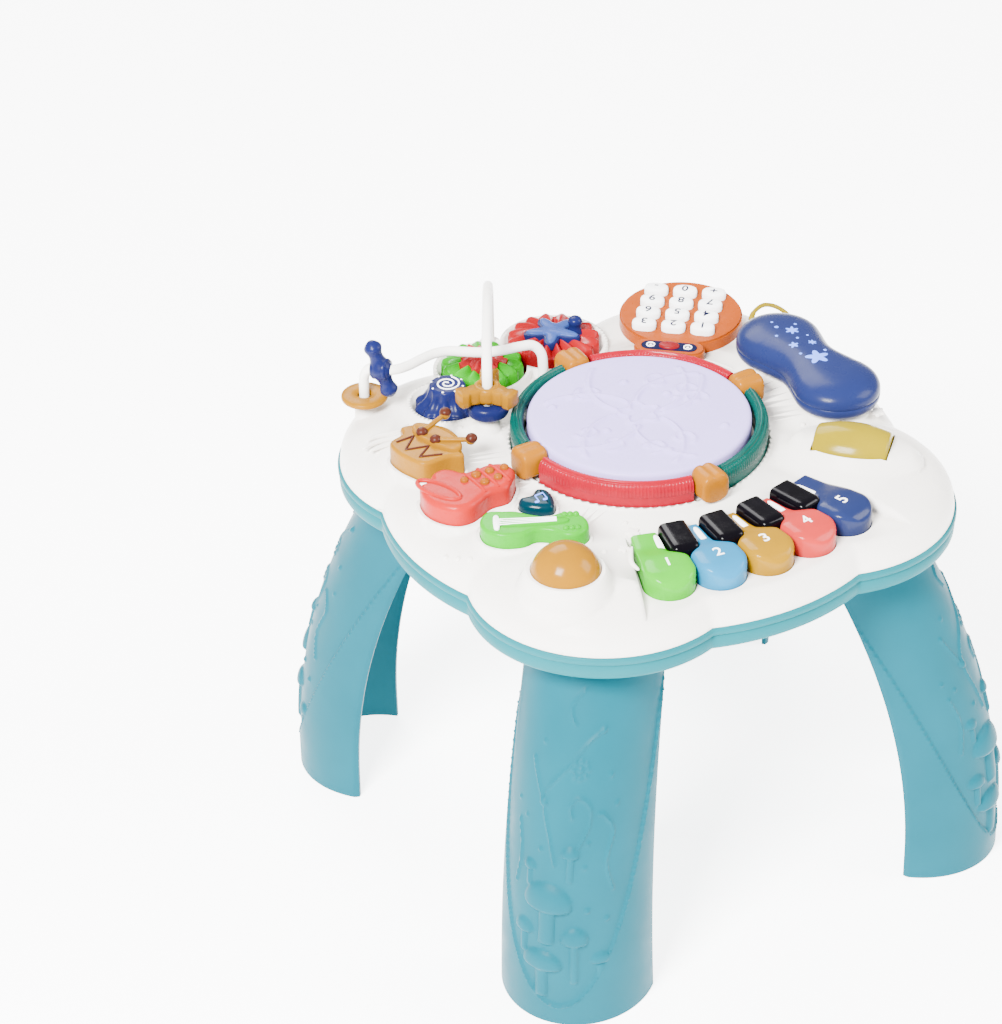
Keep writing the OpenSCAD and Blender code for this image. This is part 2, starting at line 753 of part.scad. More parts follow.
key_angles = [-2, -1, 0, 1, 2] * key_pitch;
black_angles = [-1.5, -0.5, 0.5, 1.5] * key_pitch;
key_top_z = table_h + key_rise;
key_under_z = key_top_z - 17;
recess_z = table_h - recess_depth;
recess_half = 2.5 * key_pitch + 0.9;
key_lobe_at = key_back_r + key_neck;
recess_end_r = key_lobe_at + key_lobe_r + 32.7;
black_front_r = key_back_r + black_len;
black_gap = 0.5;
switch_at = black_front_r + 2;
key_pin_at = key_back_r - 6;
key_pin_z = deck_under_z - 7;
key_skin = 2;

// Carries its children to a point on a key's middle line; +X then runs towards its front
module at_fan(angle, r) {
    translate([0, fan_y, 0]) rotate([0, 0, angle - 90]) translate([r, 0, 0]) children();
}

// A black key's outline about the fan point, grown by g
module black_2d(g = 0) {
    w = black_w / 2 + g;
    front = black_front_r + g;
    corner = 6 + g;
    translate([key_back_r - 3, -w]) square([front - corner - key_back_r + 3, 2 * w]);
    translate([front - corner - 1, -w + corner]) square([corner + 1, 2 * (w - corner)]);
    for (s = [-1, 1]) translate([front - corner, s * (w - corner)]) circle(r = corner, $fn = 32);
}

// A coloured key's outline about the fan point: a wedge with a round front, less the black keys
module key_2d(angle, g, back) {
    half = key_pitch / 2;
    edge = 0.35 - g;
    side = [for (r = [back, key_lobe_at]) r * tan(half) - edge];
    difference() {
        union() {
            polygon([[back, -side[0]], [key_lobe_at, -side[1]], [key_lobe_at, side[1]],
                [back, side[0]]]);
            translate([key_lobe_at, 0]) circle(r = key_lobe_r + g, $fn = 64);
        }
        for (b = black_angles) if (abs(b - angle) < key_pitch)
            rotate(b - angle) black_2d(black_gap - g);
    }
}

module key(angle, shade) {
    color(shade) difference() {
        union() {
            at_fan(angle, 0) difference() {
                union() {
                    translate([0, 0, key_top_z - 2]) linear_extrude(2) key_2d(angle, -0.8, key_back_r);
                    translate([0, 0, key_under_z]) linear_extrude(key_top_z - key_under_z - 2)
                        key_2d(angle, 0, key_back_r);
                }
                translate([0, 0, key_under_z - 1])
                    linear_extrude(key_top_z - key_under_z - key_skin + 1)
                        key_2d(angle, -key_skin, key_back_r + key_skin);
                translate([key_back_r + 8, -1.4, key_top_z - 0.6]) cube([22, 2.8, 2]);
            }
            at_fan(angle, 0) translate([key_pin_at, -2.5, key_pin_z - 2])
                cube([key_back_r - key_pin_at + 1.5, 5, 4]);
            at_fan(angle, key_pin_at) translate([0, 2.6, key_pin_z]) rotate([90, 0, 0])
                cylinder(r = key_pin_r + 2, h = 5.2);
            at_fan(angle, switch_at) translate([-2.5, -2.5, main_z + board_t + 3.4 + 3.2])
                cube([5, 5, key_top_z - 1 - main_z - board_t - 6.6]);
        }
        at_fan(angle, key_pin_at) translate([0, 6, key_pin_z]) rotate([90, 0, 0])
            cylinder(r = key_pin_r + run_gap, h = 12);
    }
}

module green_key() { key(key_angles[0], [0.55, 0.87, 0.43]); }
module light_blue_key() { key(key_angles[1], [0.42, 0.73, 0.87]); }
module orange_key() { key(key_angles[2], [0.98, 0.69, 0.25]); }
module pink_key() { key(key_angles[3], [0.97, 0.43, 0.42]); }
module indigo_key() { key(key_angles[4], [0.24, 0.29, 0.61]); }

module black_keys() {
    top = key_top_z + black_proud;
    color([0.06, 0.06, 0.07]) for (a = black_angles) at_fan(a, 0) {
        translate([0, 0, recess_z]) linear_extrude(top - recess_z - 2) intersection() {
            black_2d();
            translate([key_back_r - 0.5, -20]) square([40, 40]);
        }
        translate([0, 0, top - 2]) linear_extrude(2) intersection() {
            black_2d(-1);
            translate([key_back_r + 0.5, -20]) square([40, 40]);
        }
    }
}

module key_pins() {
    color([0.75, 0.75, 0.77]) for (a = key_angles) at_fan(a, key_pin_at)
        translate([0, 6, key_pin_z]) rotate([90, 0, 0]) cylinder(r = key_pin_r, h = 12);
}

// Ears under the cover that hold both ends of each hinge pin
module key_brackets() {
    for (a = key_angles) at_fan(a, key_pin_at) for (s = [-1, 1])
        translate([-4, s * 4.9 - 1.6, key_pin_z - 4]) difference() {
            cube([8, 3.2, deck_under_z - key_pin_z + 5]);
            translate([4, 4, 4]) rotate([90, 0, 0]) cylinder(r = key_pin_r + run_gap, h = 6);
        }
}

module fan_2d(back, front, half) {
    translate([0, fan_y]) rotate(-90) difference() {
        polygon([[0, 0], for (i = [-4:4]) let (a = half * i / 4)
            [front / cos(half) * cos(a), front / cos(half) * sin(a)]]);
        circle(r = back, $fn = 128);
    }
}

module recess_walls() {
    translate([0, 0, recess_z - cover_wall]) linear_extrude(recess_depth + cover_wall)
        fan_2d(key_back_r - 1 - cover_wall, recess_end_r, recess_half + 0.7);
}

module recess_hollow() {
    translate([0, 0, recess_z]) linear_extrude(recess_depth + 10)
        fan_2d(key_back_r - 1, recess_end_r, recess_half);
}

module key_openings() {
    for (a = key_angles) at_fan(a, 0) translate([0, 0, recess_z - 20]) linear_extrude(24)
        key_2d(a, 0.5, key_back_r - 0.6);
    for (a = key_angles) at_fan(a, 0) translate([key_pin_at, -3.2, key_pin_z - 4])
        cube([key_back_r - key_pin_at + 1, 6.4, 8]);
}

// ---------------------------------------------------------------- gears

red_teeth = 16;
green_teeth = 14;
blue_teeth = 11;
red_at = [red_gear_x, red_gear_y];
green_at = red_at + (red_teeth + green_teeth) * gear_module * [cos(green_dir), sin(green_dir)];
blue_at = green_at + (green_teeth + blue_teeth) * gear_module * [cos(blue_dir), sin(blue_dir)];
red_phase = green_dir;
green_phase = green_dir + 180 - 180 / green_teeth;
blue_phase = blue_dir + 180 - (180 - green_teeth * (blue_dir - green_phase)) / blue_teeth;
cup_z = table_h - cup_depth;
cup_gap = 2;
cup_wall = 3;

// Wavy tooth outline: the radius swings once per tooth about the pitch circle
function gear_outline(teeth, phase, g = 0) =
    [for (i = [0:teeth * 8 - 1]) let (a = 360 * i / (teeth * 8))
        (gear_module * teeth - mesh_gap / 2 + g + tooth_wave * cos(teeth * (a - phase)))
            * [cos(a), sin(a)]];

function gear_spots() = [[red_at, red_teeth], [green_at, green_teeth], [blue_at, blue_teeth]];

module cup_discs(g, z0, z1) {
    for (s = gear_spots()) translate([s[0][0], s[0][1], 0])
        rod(gear_module * s[1] + tooth_wave + g, z0, z1, $fn = 96);
}

module gear_cup_walls() {
    cup_discs(cup_gap + cup_wall, cup_z - cover_wall, table_h + cup_rim_h);
}

module gear_cup_hollows() {
    difference() {
        cup_discs(cup_gap, cup_z, table_h + 30);
        for (s = gear_spots()) translate([s[0][0], s[0][1], 0]) {
            rod(gear_post_r, cup_z - 1, table_h + gear_top - 3.5);
            rod(gear_post_r + 3, cup_z - 1, cup_z + 1);
        }
    }
}

module gear(at, teeth, phase, shade) {
    body_r = gear_module * teeth - mesh_gap / 2 - tooth_wave - 0.8;
    z0 = cup_z + 1 + seat_gap;
    z1 = table_h + gear_top - 3;
    color(shade) translate([at[0], at[1], 0]) difference() {
        union() {
            slab(gear_outline(teeth, phase), z0, z1 - 2);
            translate([0, 0, z1 - 2.01]) cylinder(r1 = body_r, r2 = body_r - 4, h = 2.01);
            for (i = [0:teeth - 1]) rotate([0, 0, phase + 360 * i / teeth])
                translate([body_r * 0.4, 0, z1 - 2]) rotate([0, 90, 0])
                    cylinder(r = 2, h = body_r * 0.55, $fn = 24);
        }
        rod(gear_post_r + run_gap, z0 - 1, z1 + 5);
    }
}

module red_gear() { gear(red_at, red_teeth, red_phase, [0.96, 0.35, 0.36]); }
module green_gear() { gear(green_at, green_teeth, green_phase, [0.6, 0.88, 0.45]); }
module blue_gear() {
    gear(blue_at, blue_teeth, blue_phase, [0.2, 0.28, 0.62]);
    color([0.2, 0.28, 0.62]) translate([blue_at[0], blue_at[1], table_h + gear_top - 3])
        round_top_disc(12, 0, 8, 2);
}

cap_z = table_h + gear_top - 3;

// A splash with five round arms and one raised grip
module red_gear_cap() {
    color([0.5, 0.65, 0.88]) translate([red_at[0], red_at[1], 0]) {
        rod(8, cap_z, cap_z + 4);
        for (a = [10, 68, 128, 205, 275]) rotate([0, 0, a]) {
            translate([0, -3.5, cap_z]) cube([15, 7, 4]);
            translate([15, 0, 0]) rod(4.2, cap_z, cap_z + 4);
        }
        rotate([0, 0, -18]) translate([15, 0, 0]) round_top_disc(5, cap_z, cap_z + 12, 2);
        rotate([0, 0, -18]) translate([0, -3.5, cap_z]) cube([15, 7, 4]);
    }
}

module green_gear_flower() {
    petals = closed_curve([for (i = [0:15]) (i % 2 == 0 ? 16 : 12.5)
        * [cos(i * 22.5), sin(i * 22.5)]], 3);
    color([0.95, 0.42, 0.45]) translate([green_at[0], green_at[1], 0]) {
        slab(petals, cap_z, cap_z + 3);
        for (i = [0:5]) rotate([0, 0, i * 60]) translate([4, 0, cap_z + 2.6]) rotate([0, 84, 0])
            cylinder(r = 1.5, h = 8, $fn = 24);
    }
}

// ---------------------------------------------------------------- dial

// Place of a dial button: 0 to 11, three to a row, counted away from the drum
first_button = [-1.0, -28.7];
function dial_spot(i) =
    concat(first_button + (i % 3) * button_step_a * [cos(dial_turn), sin(dial_turn)]
        + floor(i / 3) * button_step_b * [cos(dial_turn - 91.7), sin(dial_turn - 91.7)], [0]);
dial_skin = 2.5;
dial_tab_at = [-30.7, -33.2];
window_turn = dial_turn - 180;

module stadium_2d(l, w) {
    square([l - w, w], center = true);
    for (s = [-1, 1]) translate([s * (l - w) / 2, 0]) circle(d = w, $fn = 48);
}

module dial_2d(inset) {
    circle(r = dial_r - inset, $fn = 96);
    translate(dial_tab_at) rotate(window_turn) stadium_2d(48 - 2 * inset, 17 - 2 * inset);
}

// Outline of a dial button, grown by g
module oval_2d(g) {
    stadium_2d(button_long + 2 * g, button_short + 2 * g);
}

module dial_plate() {
    top = table_h + dial_h;
    color([0.95, 0.5, 0.3]) at_dial() difference() {
        union() {
            translate([0, 0, table_h + 0.02]) linear_extrude(dial_h - 1.5) dial_2d(0);
            translate([0, 0, table_h + 1]) linear_extrude(dial_h - 1) dial_2d(1);
        }
        translate([0, 0, table_h - 1]) linear_extrude(dial_h + 1 - dial_skin) dial_2d(dial_skin);
        for (i = [0:11]) translate(dial_spot(i)) rotate([0, 0, dial_turn])
            translate([0, 0, table_h]) linear_extrude(20) oval_2d(slide_gap);
        translate([dial_tab_at[0], dial_tab_at[1], top - 1]) rotate([0, 0, window_turn])
            linear_extrude(5) stadium_2d(38, 11);
    }
}

module dial_window() {
    color([0.13, 0.16, 0.42]) at_dial()
        translate([dial_tab_at[0], dial_tab_at[1], table_h + dial_h - 1])
            rotate([0, 0, window_turn]) linear_extrude(1.2) stadium_2d(37.4, 10.4);
}

module dial_button(i) {
    top = table_h + dial_h + 5;
    flange = table_h + dial_h - dial_skin - seat_gap;
    color([0.96, 0.96, 0.95]) at_dial() {
        intersection() {
            translate(dial_spot(i)) rotate([0, 0, dial_turn]) translate([0, 0, flange - 1.5])
                linear_extrude(1.5) oval_2d(slide_gap + 0.9);
            rod(dial_r - dial_skin - slide_gap, flange - 2, flange + 1);
        }
        translate(dial_spot(i)) rotate([0, 0, dial_turn]) {
            translate([0, 0, flange - 0.5]) linear_extrude(top - flange - 0.5) oval_2d(0);
            translate([0, 0, top - 1.1]) linear_extrude(1.1) oval_2d(-1);
            rod(1.6, keypad_z + 2.4 + button_travel + seat_gap, flange);
        }
    }
}

// ---------------------------------------------------------------- handset

waist_r = (pow(handset_half, 2) + pow(handset_waist, 2) - pow(handset_end_r, 2))
    / (2 * (handset_end_r - handset_waist));

// Two round ends joined by a waist whose sides are arcs that run smoothly into the ends
module handset_2d(g) {
    touch = handset_half * waist_r / (handset_end_r + waist_r);
    translate([handset_x, handset_y]) {
        for (s = [-1, 1]) translate([0, s * handset_half]) circle(r = handset_end_r + g, $fn = 96);
        difference() {
            square([2 * (handset_end_r + g) - 2, 2 * touch], center = true);
            for (s = [-1, 1]) translate([s * (handset_waist + waist_r), 0])
                circle(r = waist_r - g, $fn = 128);
        }
    }
}

// The handset lies on a low pad that stands just proud of the playing surface
cradle_z = table_h + 0.3;
handset_z = cradle_z + seat_gap;
handset_split = handset_z + 0.45 * handset_h;

function handset_outline() = closed_curve(concat(
    [for (a = [-20:25:205]) [handset_end_r * cos(a), handset_half + handset_end_r * sin(a)]],
    [[-handset_waist, 0]],
    [for (a = [160:25:385]) [handset_end_r * cos(a), -handset_half + handset_end_r * sin(a)]],
    [[handset_waist, 0]]), 3);

// Each half is one wall: its steps run over the inside, round the rim and over the outside
module handset_top() {
    h = handset_h * 0.55;
    color([0.22, 0.3, 0.64]) at_handset() translate([0, 0, handset_split])
        pad(handset_outline(), [[h - 2.2, 14], [h * 0.8, 8], [h * 0.5, 3.5], [0.05, 2.5],
            [0.05, 0], [h * 0.35, 0.4], [h * 0.65, 2.6], [h * 0.85, 6], [h * 0.96, 10], [h, 15]]);
}

module handset_bottom() {
    h = handset_h * 0.45;
    color([0.2, 0.27, 0.6]) at_handset() translate([0, 0, handset_z])
        pad(handset_outline(), [[0, 7], [h * 0.25, 3.5], [h * 0.6, 1], [h, 0],
            [h, 2.5], [h * 0.6, 3.5], [2.2, 9]]);
}

// Route of the cord, by hand: out of the handset, over the rim, down in a slack loop beside
// the table and back up into the side of the rim
cord_route = [[132, 70.4, 301], [133, 74.5, 302.6], [138, 78.5, 304.5], [147, 81.5, 305],
    [157, 83, 300.5], [166, 82.5, 293], [173, 79.5, 283], [178.5, 74.5, 271], [183, 67.5, 259],
    [186, 59, 249], [187.5, 49.5, 242], [187.5, 39.5, 237.5], [185.5, 30, 235], [181.5, 23, 234],
    [176, 20.5, 234.5], [170.5, 23.5, 236], [167, 31, 237.5], [166, 40, 239], [167.5, 49, 240],
    [171, 58, 241], [175, 66.5, 243], [178.5, 74, 246], [180, 80, 249.5], [178.5, 84.5, 252.5],
    [174.5, 86, 253.5], [170.9, 86, 253.5]];

module handset_cord() {
    color([0.93, 0.8, 0.2]) tube(open_curve(cord_route, 2), cord_d / 2, 8, [0, 0, 1]);
}

// ---------------------------------------------------------------- rails and beads

post_at = [-77, 69.5];
far_foot = [-24, 158];
low_left = [-131, 138.5];
low_right = [-18.5, 97];
post_h = 11;
low_foot_h = 3.5;

// Rail feet on the cover: x, y, top of the foot, bottom of the blind hole's boss, radius
function rail_feet() = [[post_at[0], post_at[1], table_h + post_h, table_h - 10, 8],
    [far_foot[0], far_foot[1], table_h + 4, table_h - 12, 7],
    [low_left[0], low_left[1], table_h + low_foot_h, table_h - 14, 7],
    [low_right[0], low_right[1], table_h + 2, table_h - 10, 5.5]];

function peg_z(i) = rail_feet()[i][3] + 2;

// Route of the low rail: up from its left foot, level past the gears and down to its right foot
low_path = concat(
    [[low_left[0], low_left[1], peg_z(2)], [low_left[0], low_left[1], table_h + 16]],
    [for (p = [[-130.6, 137.2, -7], [-129, 133.6, -1.4], [-126.6, 129.4, 0.6],
        [-124, 125.2, 1], [-121, 122, 1], [-115.5, 120.2, 0.6], [-106, 121.2, 0],
        [-95, 123.8, 0], [-85, 125.2, 0], [-75, 123, 0], [-66, 116, 0], [-56, 109, 0],
        [-44.7, 105, 0], [-33, 103, 0], [-24, 101.3, -1], [-19.5, 98.5, -6]])
        [p[0], p[1], table_h + low_rail_h + p[2]]],
    [[low_right[0], low_right[1], table_h + 16], [low_right[0], low_right[1], peg_z(3)]]);

module low_rail() {
    color([0.94, 0.93, 0.91]) tube(open_curve(low_path, 3), rail_r, 12, [1, 0, 0]);
}

arch_mid = (post_at + far_foot) / 2;
arch_half = norm(far_foot - post_at) / 2;
arch_dir = unit(far_foot - post_at);
function arch_point(s, z) = [arch_mid[0] + s * arch_dir[0], arch_mid[1] + s * arch_dir[1], z];

module arch_rail() {
    crown = arch_h - arch_foot_h;
    color([0.94, 0.93, 0.91]) tube(concat(
        [arch_point(-arch_half, peg_z(0)), arch_point(-arch_half, table_h + 20)],
        [for (a = [180:-9:0])
            arch_point(arch_half * cos(a), table_h + arch_foot_h + crown * sin(a))],
        [arch_point(arch_half, table_h + 20), arch_point(arch_half, peg_z(1))]),
        rail_r, 16, [arch_dir[1], -arch_dir[0], 0]);
}

// A ring bead that lies flat: round outer edge, straight bore
module bead_torus(r_out, half_h, hole_r) {
    rotate_extrude($fn = 96) {
        translate([r_out - half_h, 0]) circle(r = half_h, $fn = 32);
        translate([hole_r, -half_h]) square([r_out - half_h - hole_r, 2 * half_h]);
    }
}

bead_gap = 1;
yellow_ring_half = 2.6;
blue_ring_half = 5.2;

module yellow_ring_bead() {
    color([0.98, 0.73, 0.2])
        translate([low_left[0], low_left[1], table_h + low_foot_h + seat_gap + yellow_ring_half])
            bead_torus(yellow_ring_r, yellow_ring_half, rail_r + bead_gap);
}

module blue_ring_bead() {
    color([0.18, 0.25, 0.6])
        translate([post_at[0], post_at[1], table_h + post_h + seat_gap + blue_ring_half])
            bead_torus(blue_ring_r, blue_ring_half, rail_r + bead_gap);
}

orange_slider_half = 5.5;
orange_slider_z = table_h + post_h + 2 * seat_gap + 2 * blue_ring_half + orange_slider_half + 1;

module orange_slider() {
    color([0.98, 0.7, 0.25]) translate([post_at[0], post_at[1], orange_slider_z])
        difference() {
            union() {
                rod(9, -orange_slider_half, orange_slider_half);
                for (a = [55, 175, 295]) rotate([0, 0, a]) {
                    translate([0, -5, -4.5]) cube([orange_arm - 5, 10, 9]);
                    translate([orange_arm - 5.5, 0, 0]) sphere(r = 5.5, $fn = 32);
                }
            }
            rod(rail_r + bead_gap, -8, 8);
        }
}

blue_slider_at = [-124.4, 126.2, table_h + low_rail_h + 0.8];
blue_slider_dir = [2.35, -3.23, 0.28];

module blue_slider() {
    d = unit(blue_slider_dir);
    heading = atan2(d[1], d[0]);
    climb = asin(d[2]);
    color([0.18, 0.25, 0.6]) translate(blue_slider_at)
        rotate([0, 90 - climb, heading]) difference() {
            union() {
                rod(8, -4.5, 4.5);
                for (s = [-1, 1]) {
                    translate([s * blue_arm / 2, 0, 0]) rotate([0, 90, 0])
                        cylinder(r = 4.2, h = blue_arm, center = true);
                    translate([s * blue_arm, 0, 0]) sphere(r = 5.8, $fn = 40);
                }
            }
            rod(rail_r + 1.2, -9, 9);
        }
}

// ---------------------------------------------------------------- picture buttons

well_wall = 2;
well_z = table_h - 12;
well_lip = 1;

drum_outline = closed_curve([[-150, 69.5], [-152, 58], [-149, 45], [-143, 35], [-126, 34.5],
    [-117.5, 31], [-114.5, 38.5], [-109.5, 49.5], [-108.8, 60], [-112, 69], [-120, 77],
    [-134.5, 81.5], [-139, 74]], 3);
sax_outline = closed_curve([[-162, 6], [-162, -4], [-158, -13.5], [-151, -20.5],
    [-142, -21.8], [-133, -18.5], [-124, -14.5], [-112, -15], [-104.5, -9], [-98.5, -1.5],
    [-98, 5.5], [-101.5, 11], [-109.5, 14.3], [-119, 14], [-127, 14.5], [-131, 20.5],
    [-137, 25], [-145, 23.5], [-149.5, 17.5], [-158, 16]], 3);
guitar_outline = closed_curve([[-147, -45], [-143.5, -34], [-135, -28.5], [-126, -33],
    [-119, -37.5], [-113, -45.5], [-105, -52.5], [-95, -53.5], [-88, -59.5], [-86, -68],
    [-90, -77], [-99, -80], [-106, -76.5], [-111, -68], [-119, -62], [-128, -62.5],
    [-137, -59], [-143.5, -53.5]], 3);
heart_at = [-97, -29];
heart_outline = closed_curve([for (p = [[0, -12], [6.5, -7.5], [11, 0], [11.6, 6.5], [7, 10.8],
    [0, 8.4], [-7, 10.8], [-11.6, 6.5], [-11, 0], [-6.5, -7.5]])
    heart_at + [p[0] * cos(14) - p[1] * sin(14), p[0] * sin(14) + p[1] * cos(14)]], 3);

// The outlines run counter-clockwise, which grown() relies on
function reversed(p) = [for (i = [len(p) - 1:-1:0]) p[i]];
function area2(p) = [for (i = [0:len(p) - 1]) let (a = p[i], b = p[(i + 1) % len(p)])
    a[0] * b[1] - a[1] * b[0]] * [for (p0 = p) 1];
function ccw(p) = area2(p) > 0 ? p : reversed(p);

function wells() = [ccw(drum_outline), ccw(sax_outline), ccw(guitar_outline), ccw(heart_outline)];

// A hollow push button: flange under its well, straight sides and a softly rounded crown
module push_button(outline, top, edge, stem) {
    foot = well_z - seat_gap - 2;
    crown = table_h + top;
    difference() {
        union() {
            slab(grown(outline, slide_gap + 1.2), foot, foot + 2);
            slab(outline, foot + 1, crown - edge);
            pad(outline, [[crown - edge - 0.01, 0], [crown - edge * 0.5, edge * 0.25],
                [crown - edge * 0.15, edge * 0.6], [crown, edge]]);
        }
        slab(grown(outline, -2), foot - 1, crown - edge - 1);
    }
    translate([stem[0], stem[1], 0])
        rod(3, tray_floor_z + 6 + press_travel + seat_gap, crown - edge);
}

module drum_button() {
    color([0.97, 0.65, 0.15]) push_button(wells()[0], drum_button_top, 2, [-130, 56]);
    color([0.65, 0.3, 0.2]) for (s = [[[-129, 64.5], [-106, 74.5]], [[-126, 52], [-107, 38.5]]]) {
        translate([s[0][0], s[0][1], table_h + drum_button_top]) sphere(r = 4.2, $fn = 32);
        translate([s[1][0], s[1][1], table_h + drum_button_top]) sphere(r = 4, $fn = 32);
        stick = s[1] - s[0];
        translate([s[0][0], s[0][1], table_h + drum_button_top + 0.5])
            rotate([0, 90, atan2(stick[1], stick[0])]) cylinder(r = 1.6, h = norm(stick), $fn = 24);
    }
}

module sax_button() {
    color([0.97, 0.42, 0.4]) push_button(wells()[1], sax_button_top, 2.5, [-140, 2]);
}

module guitar_button() {
    color([0.55, 0.87, 0.43]) push_button(wells()[2], guitar_button_top, 2, [-130, -47]);
}

module heart_button() {
    color([0.0, 0.36, 0.45]) push_button(wells()[3], heart_button_top, 3, heart_at);
}

// ---------------------------------------------------------------- ball and roller

// White ring that holds the ball in, sloping down to the playing surface
module ball_ring() {
    top = ball_ring_h - ball_rise;
    lip_r = sqrt(pow(ball_r + seat_gap, 2) - pow(top, 2));
    rotate_extrude($fn = 96) polygon([[0, -ball_rise - 14], [31, -ball_rise - 14],
        [31, -ball_rise - 3], [30.2, -ball_rise], [28.2, -ball_rise + 2.6], [25.6, top - 1.2],
        [lip_r + 2, top], [0, top]]);
}

module orange_ball() {
    color([0.98, 0.62, 0.08]) at_ball() sphere(r = ball_r, $fn = 64);
}

bearing_t = 3;
roller_side_gap = 0.5;

module roller_bearings() {
    at_roller() for (s = [-1, 1])
        translate([s * (roller_len / 2 + roller_side_gap + bearing_t / 2), 0, -4])
            cube([bearing_t, 2 * roller_end_r, 16], center = true);
}

module roller_profile(g) {
    rise = roller_mid_r - roller_end_r;
    bow = (pow(roller_len / 2, 2) + rise * rise) / (2 * rise);
    intersection() {
        translate([roller_mid_r - bow + g, 0]) circle(r = bow, $fn = 256);
        translate([0, -roller_len / 2 - g]) square([roller_mid_r + g + 1, roller_len + 2 * g]);
    }
}

module roller_hollow() {
    at_roller() {
        rotate([0, 90, 0]) rotate_extrude($fn = 96) roller_profile(0.8);
        translate([-roller_len / 2 - roller_side_gap, -roller_mid_r - 0.8, -40])
            cube([roller_len + 2 * roller_side_gap, 2 * roller_mid_r + 1.6, 40]);
        translate([-roller_len / 2 - bearing_t - 1, 0, 0]) rotate([0, 90, 0])
            cylinder(r = axle_r, h = roller_len + 2 * bearing_t + 2);
    }
}

module yellow_roller() {
    color([0.97, 0.82, 0.05]) at_roller() rotate([0, 90, 0]) difference() {
        rotate_extrude($fn = 96) roller_profile(0);
        cylinder(r = axle_r + run_gap, h = roller_len + 2, center = true);
    }
}

module roller_axle() {
    color([0.75, 0.75, 0.77]) at_roller() rotate([0, 90, 0])
        cylinder(r = axle_r, h = roller_len + 2 * bearing_t + 0.8, center = true);
}

// ---------------------------------------------------------------- parts

top_cover();
base_tray();
front_left_leg();
front_right_leg();
back_left_leg();
back_right_leg();
case_screws();
battery_door();
batteries();
battery_contacts();
speaker();
main_board();
light_board();
power_switch();
drum_head();
red_light_arcs();
green_light_arcs();
ring_clips();
green_key();
light_blue_key();
orange_key();
pink_key();
indigo_key();
black_keys();
key_pins();
dial_plate();
dial_button(0);  // dial_button_1
dial_button(1);  // dial_button_2
dial_button(2);  // dial_button_3
dial_button(3);  // dial_button_4
dial_button(4);  // dial_button_5
dial_button(5);  // dial_button_6
dial_button(6);  // dial_button_7
dial_button(7);  // dial_button_8
dial_button(8);  // dial_button_9
dial_button(9);  // dial_button_10
dial_button(10);  // dial_button_11
dial_button(11);  // dial_button_12
dial_window();
handset_top();
handset_bottom();
handset_cord();
red_gear();
green_gear();
blue_gear();
red_gear_cap();
green_gear_flower();
low_rail();
arch_rail();
yellow_ring_bead();
blue_slider();
orange_slider();
blue_ring_bead();
yellow_roller();
roller_axle();
orange_ball();
drum_button();
sax_button();
guitar_button();
heart_button();
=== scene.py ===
"""Looks of a lobed musical play table with a drum, keys, gears, beads, a dial and a handset.

Sizes and places are in millimetres, as in the part's source, unless a docstring says metres. The origin is
on the floor under the middle of the top, +Z is up, the keys are at -Y and the handset is at +X.
"""

import logging
import math
from dataclasses import dataclass, field
from enum import Enum

import bmesh
import bpy
import numpy as np
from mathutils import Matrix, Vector


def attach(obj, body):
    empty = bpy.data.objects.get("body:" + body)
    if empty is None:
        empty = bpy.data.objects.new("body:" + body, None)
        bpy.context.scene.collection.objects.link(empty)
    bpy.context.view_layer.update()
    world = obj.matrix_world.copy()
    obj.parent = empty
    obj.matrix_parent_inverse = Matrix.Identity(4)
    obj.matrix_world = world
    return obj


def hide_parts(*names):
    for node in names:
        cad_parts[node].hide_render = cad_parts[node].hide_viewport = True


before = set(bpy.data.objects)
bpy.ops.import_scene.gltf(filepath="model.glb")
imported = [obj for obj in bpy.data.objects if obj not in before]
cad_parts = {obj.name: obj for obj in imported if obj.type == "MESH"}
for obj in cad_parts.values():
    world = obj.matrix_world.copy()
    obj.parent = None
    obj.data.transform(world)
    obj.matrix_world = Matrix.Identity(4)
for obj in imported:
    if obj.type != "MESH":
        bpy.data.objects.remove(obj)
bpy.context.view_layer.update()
log = logging.getLogger("table")
Point = tuple[float, float, float]
MM = 0.001
TABLE_H = 288.0  # playing surface
SEAM_Z = 261.5  # where the cover meets the tray
TRAY_Z = 245.0  # underside of the tray
RISE = TABLE_H - SEAM_Z


# ---------------------------------------------------------------- finishes


class Gloss(Enum):
    """How shiny a moulded surface is: (roughness, coat, specular level)."""

    METAL = (0.3, 0.0, 0.5)
    MATT = (0.55, 0.0, 0.1)
    SATIN = (0.42, 0.0, 0.05)
    GLOSSY = (0.28, 0.02, 0.07)
    WET = (0.16, 0.04, 0.08)


def linear(rgb: tuple[int, int, int]) -> tuple[float, float, float]:
    """Turns a colour of 0 to 255 into linear light.

    Args:
        rgb: red, green and blue as a screen shows them.
    Returns:
        The same colour in linear light: c/12.92 below 0.04, else ((c + 0.055) / 1.055) ** 2.4.
    """
    c = np.array(rgb, float) / 255
    out = np.where(c < 0.04045, c / 12.92, ((c + 0.055) / 1.055) ** 2.4)
    return float(out[0]), float(out[1]), float(out[2])


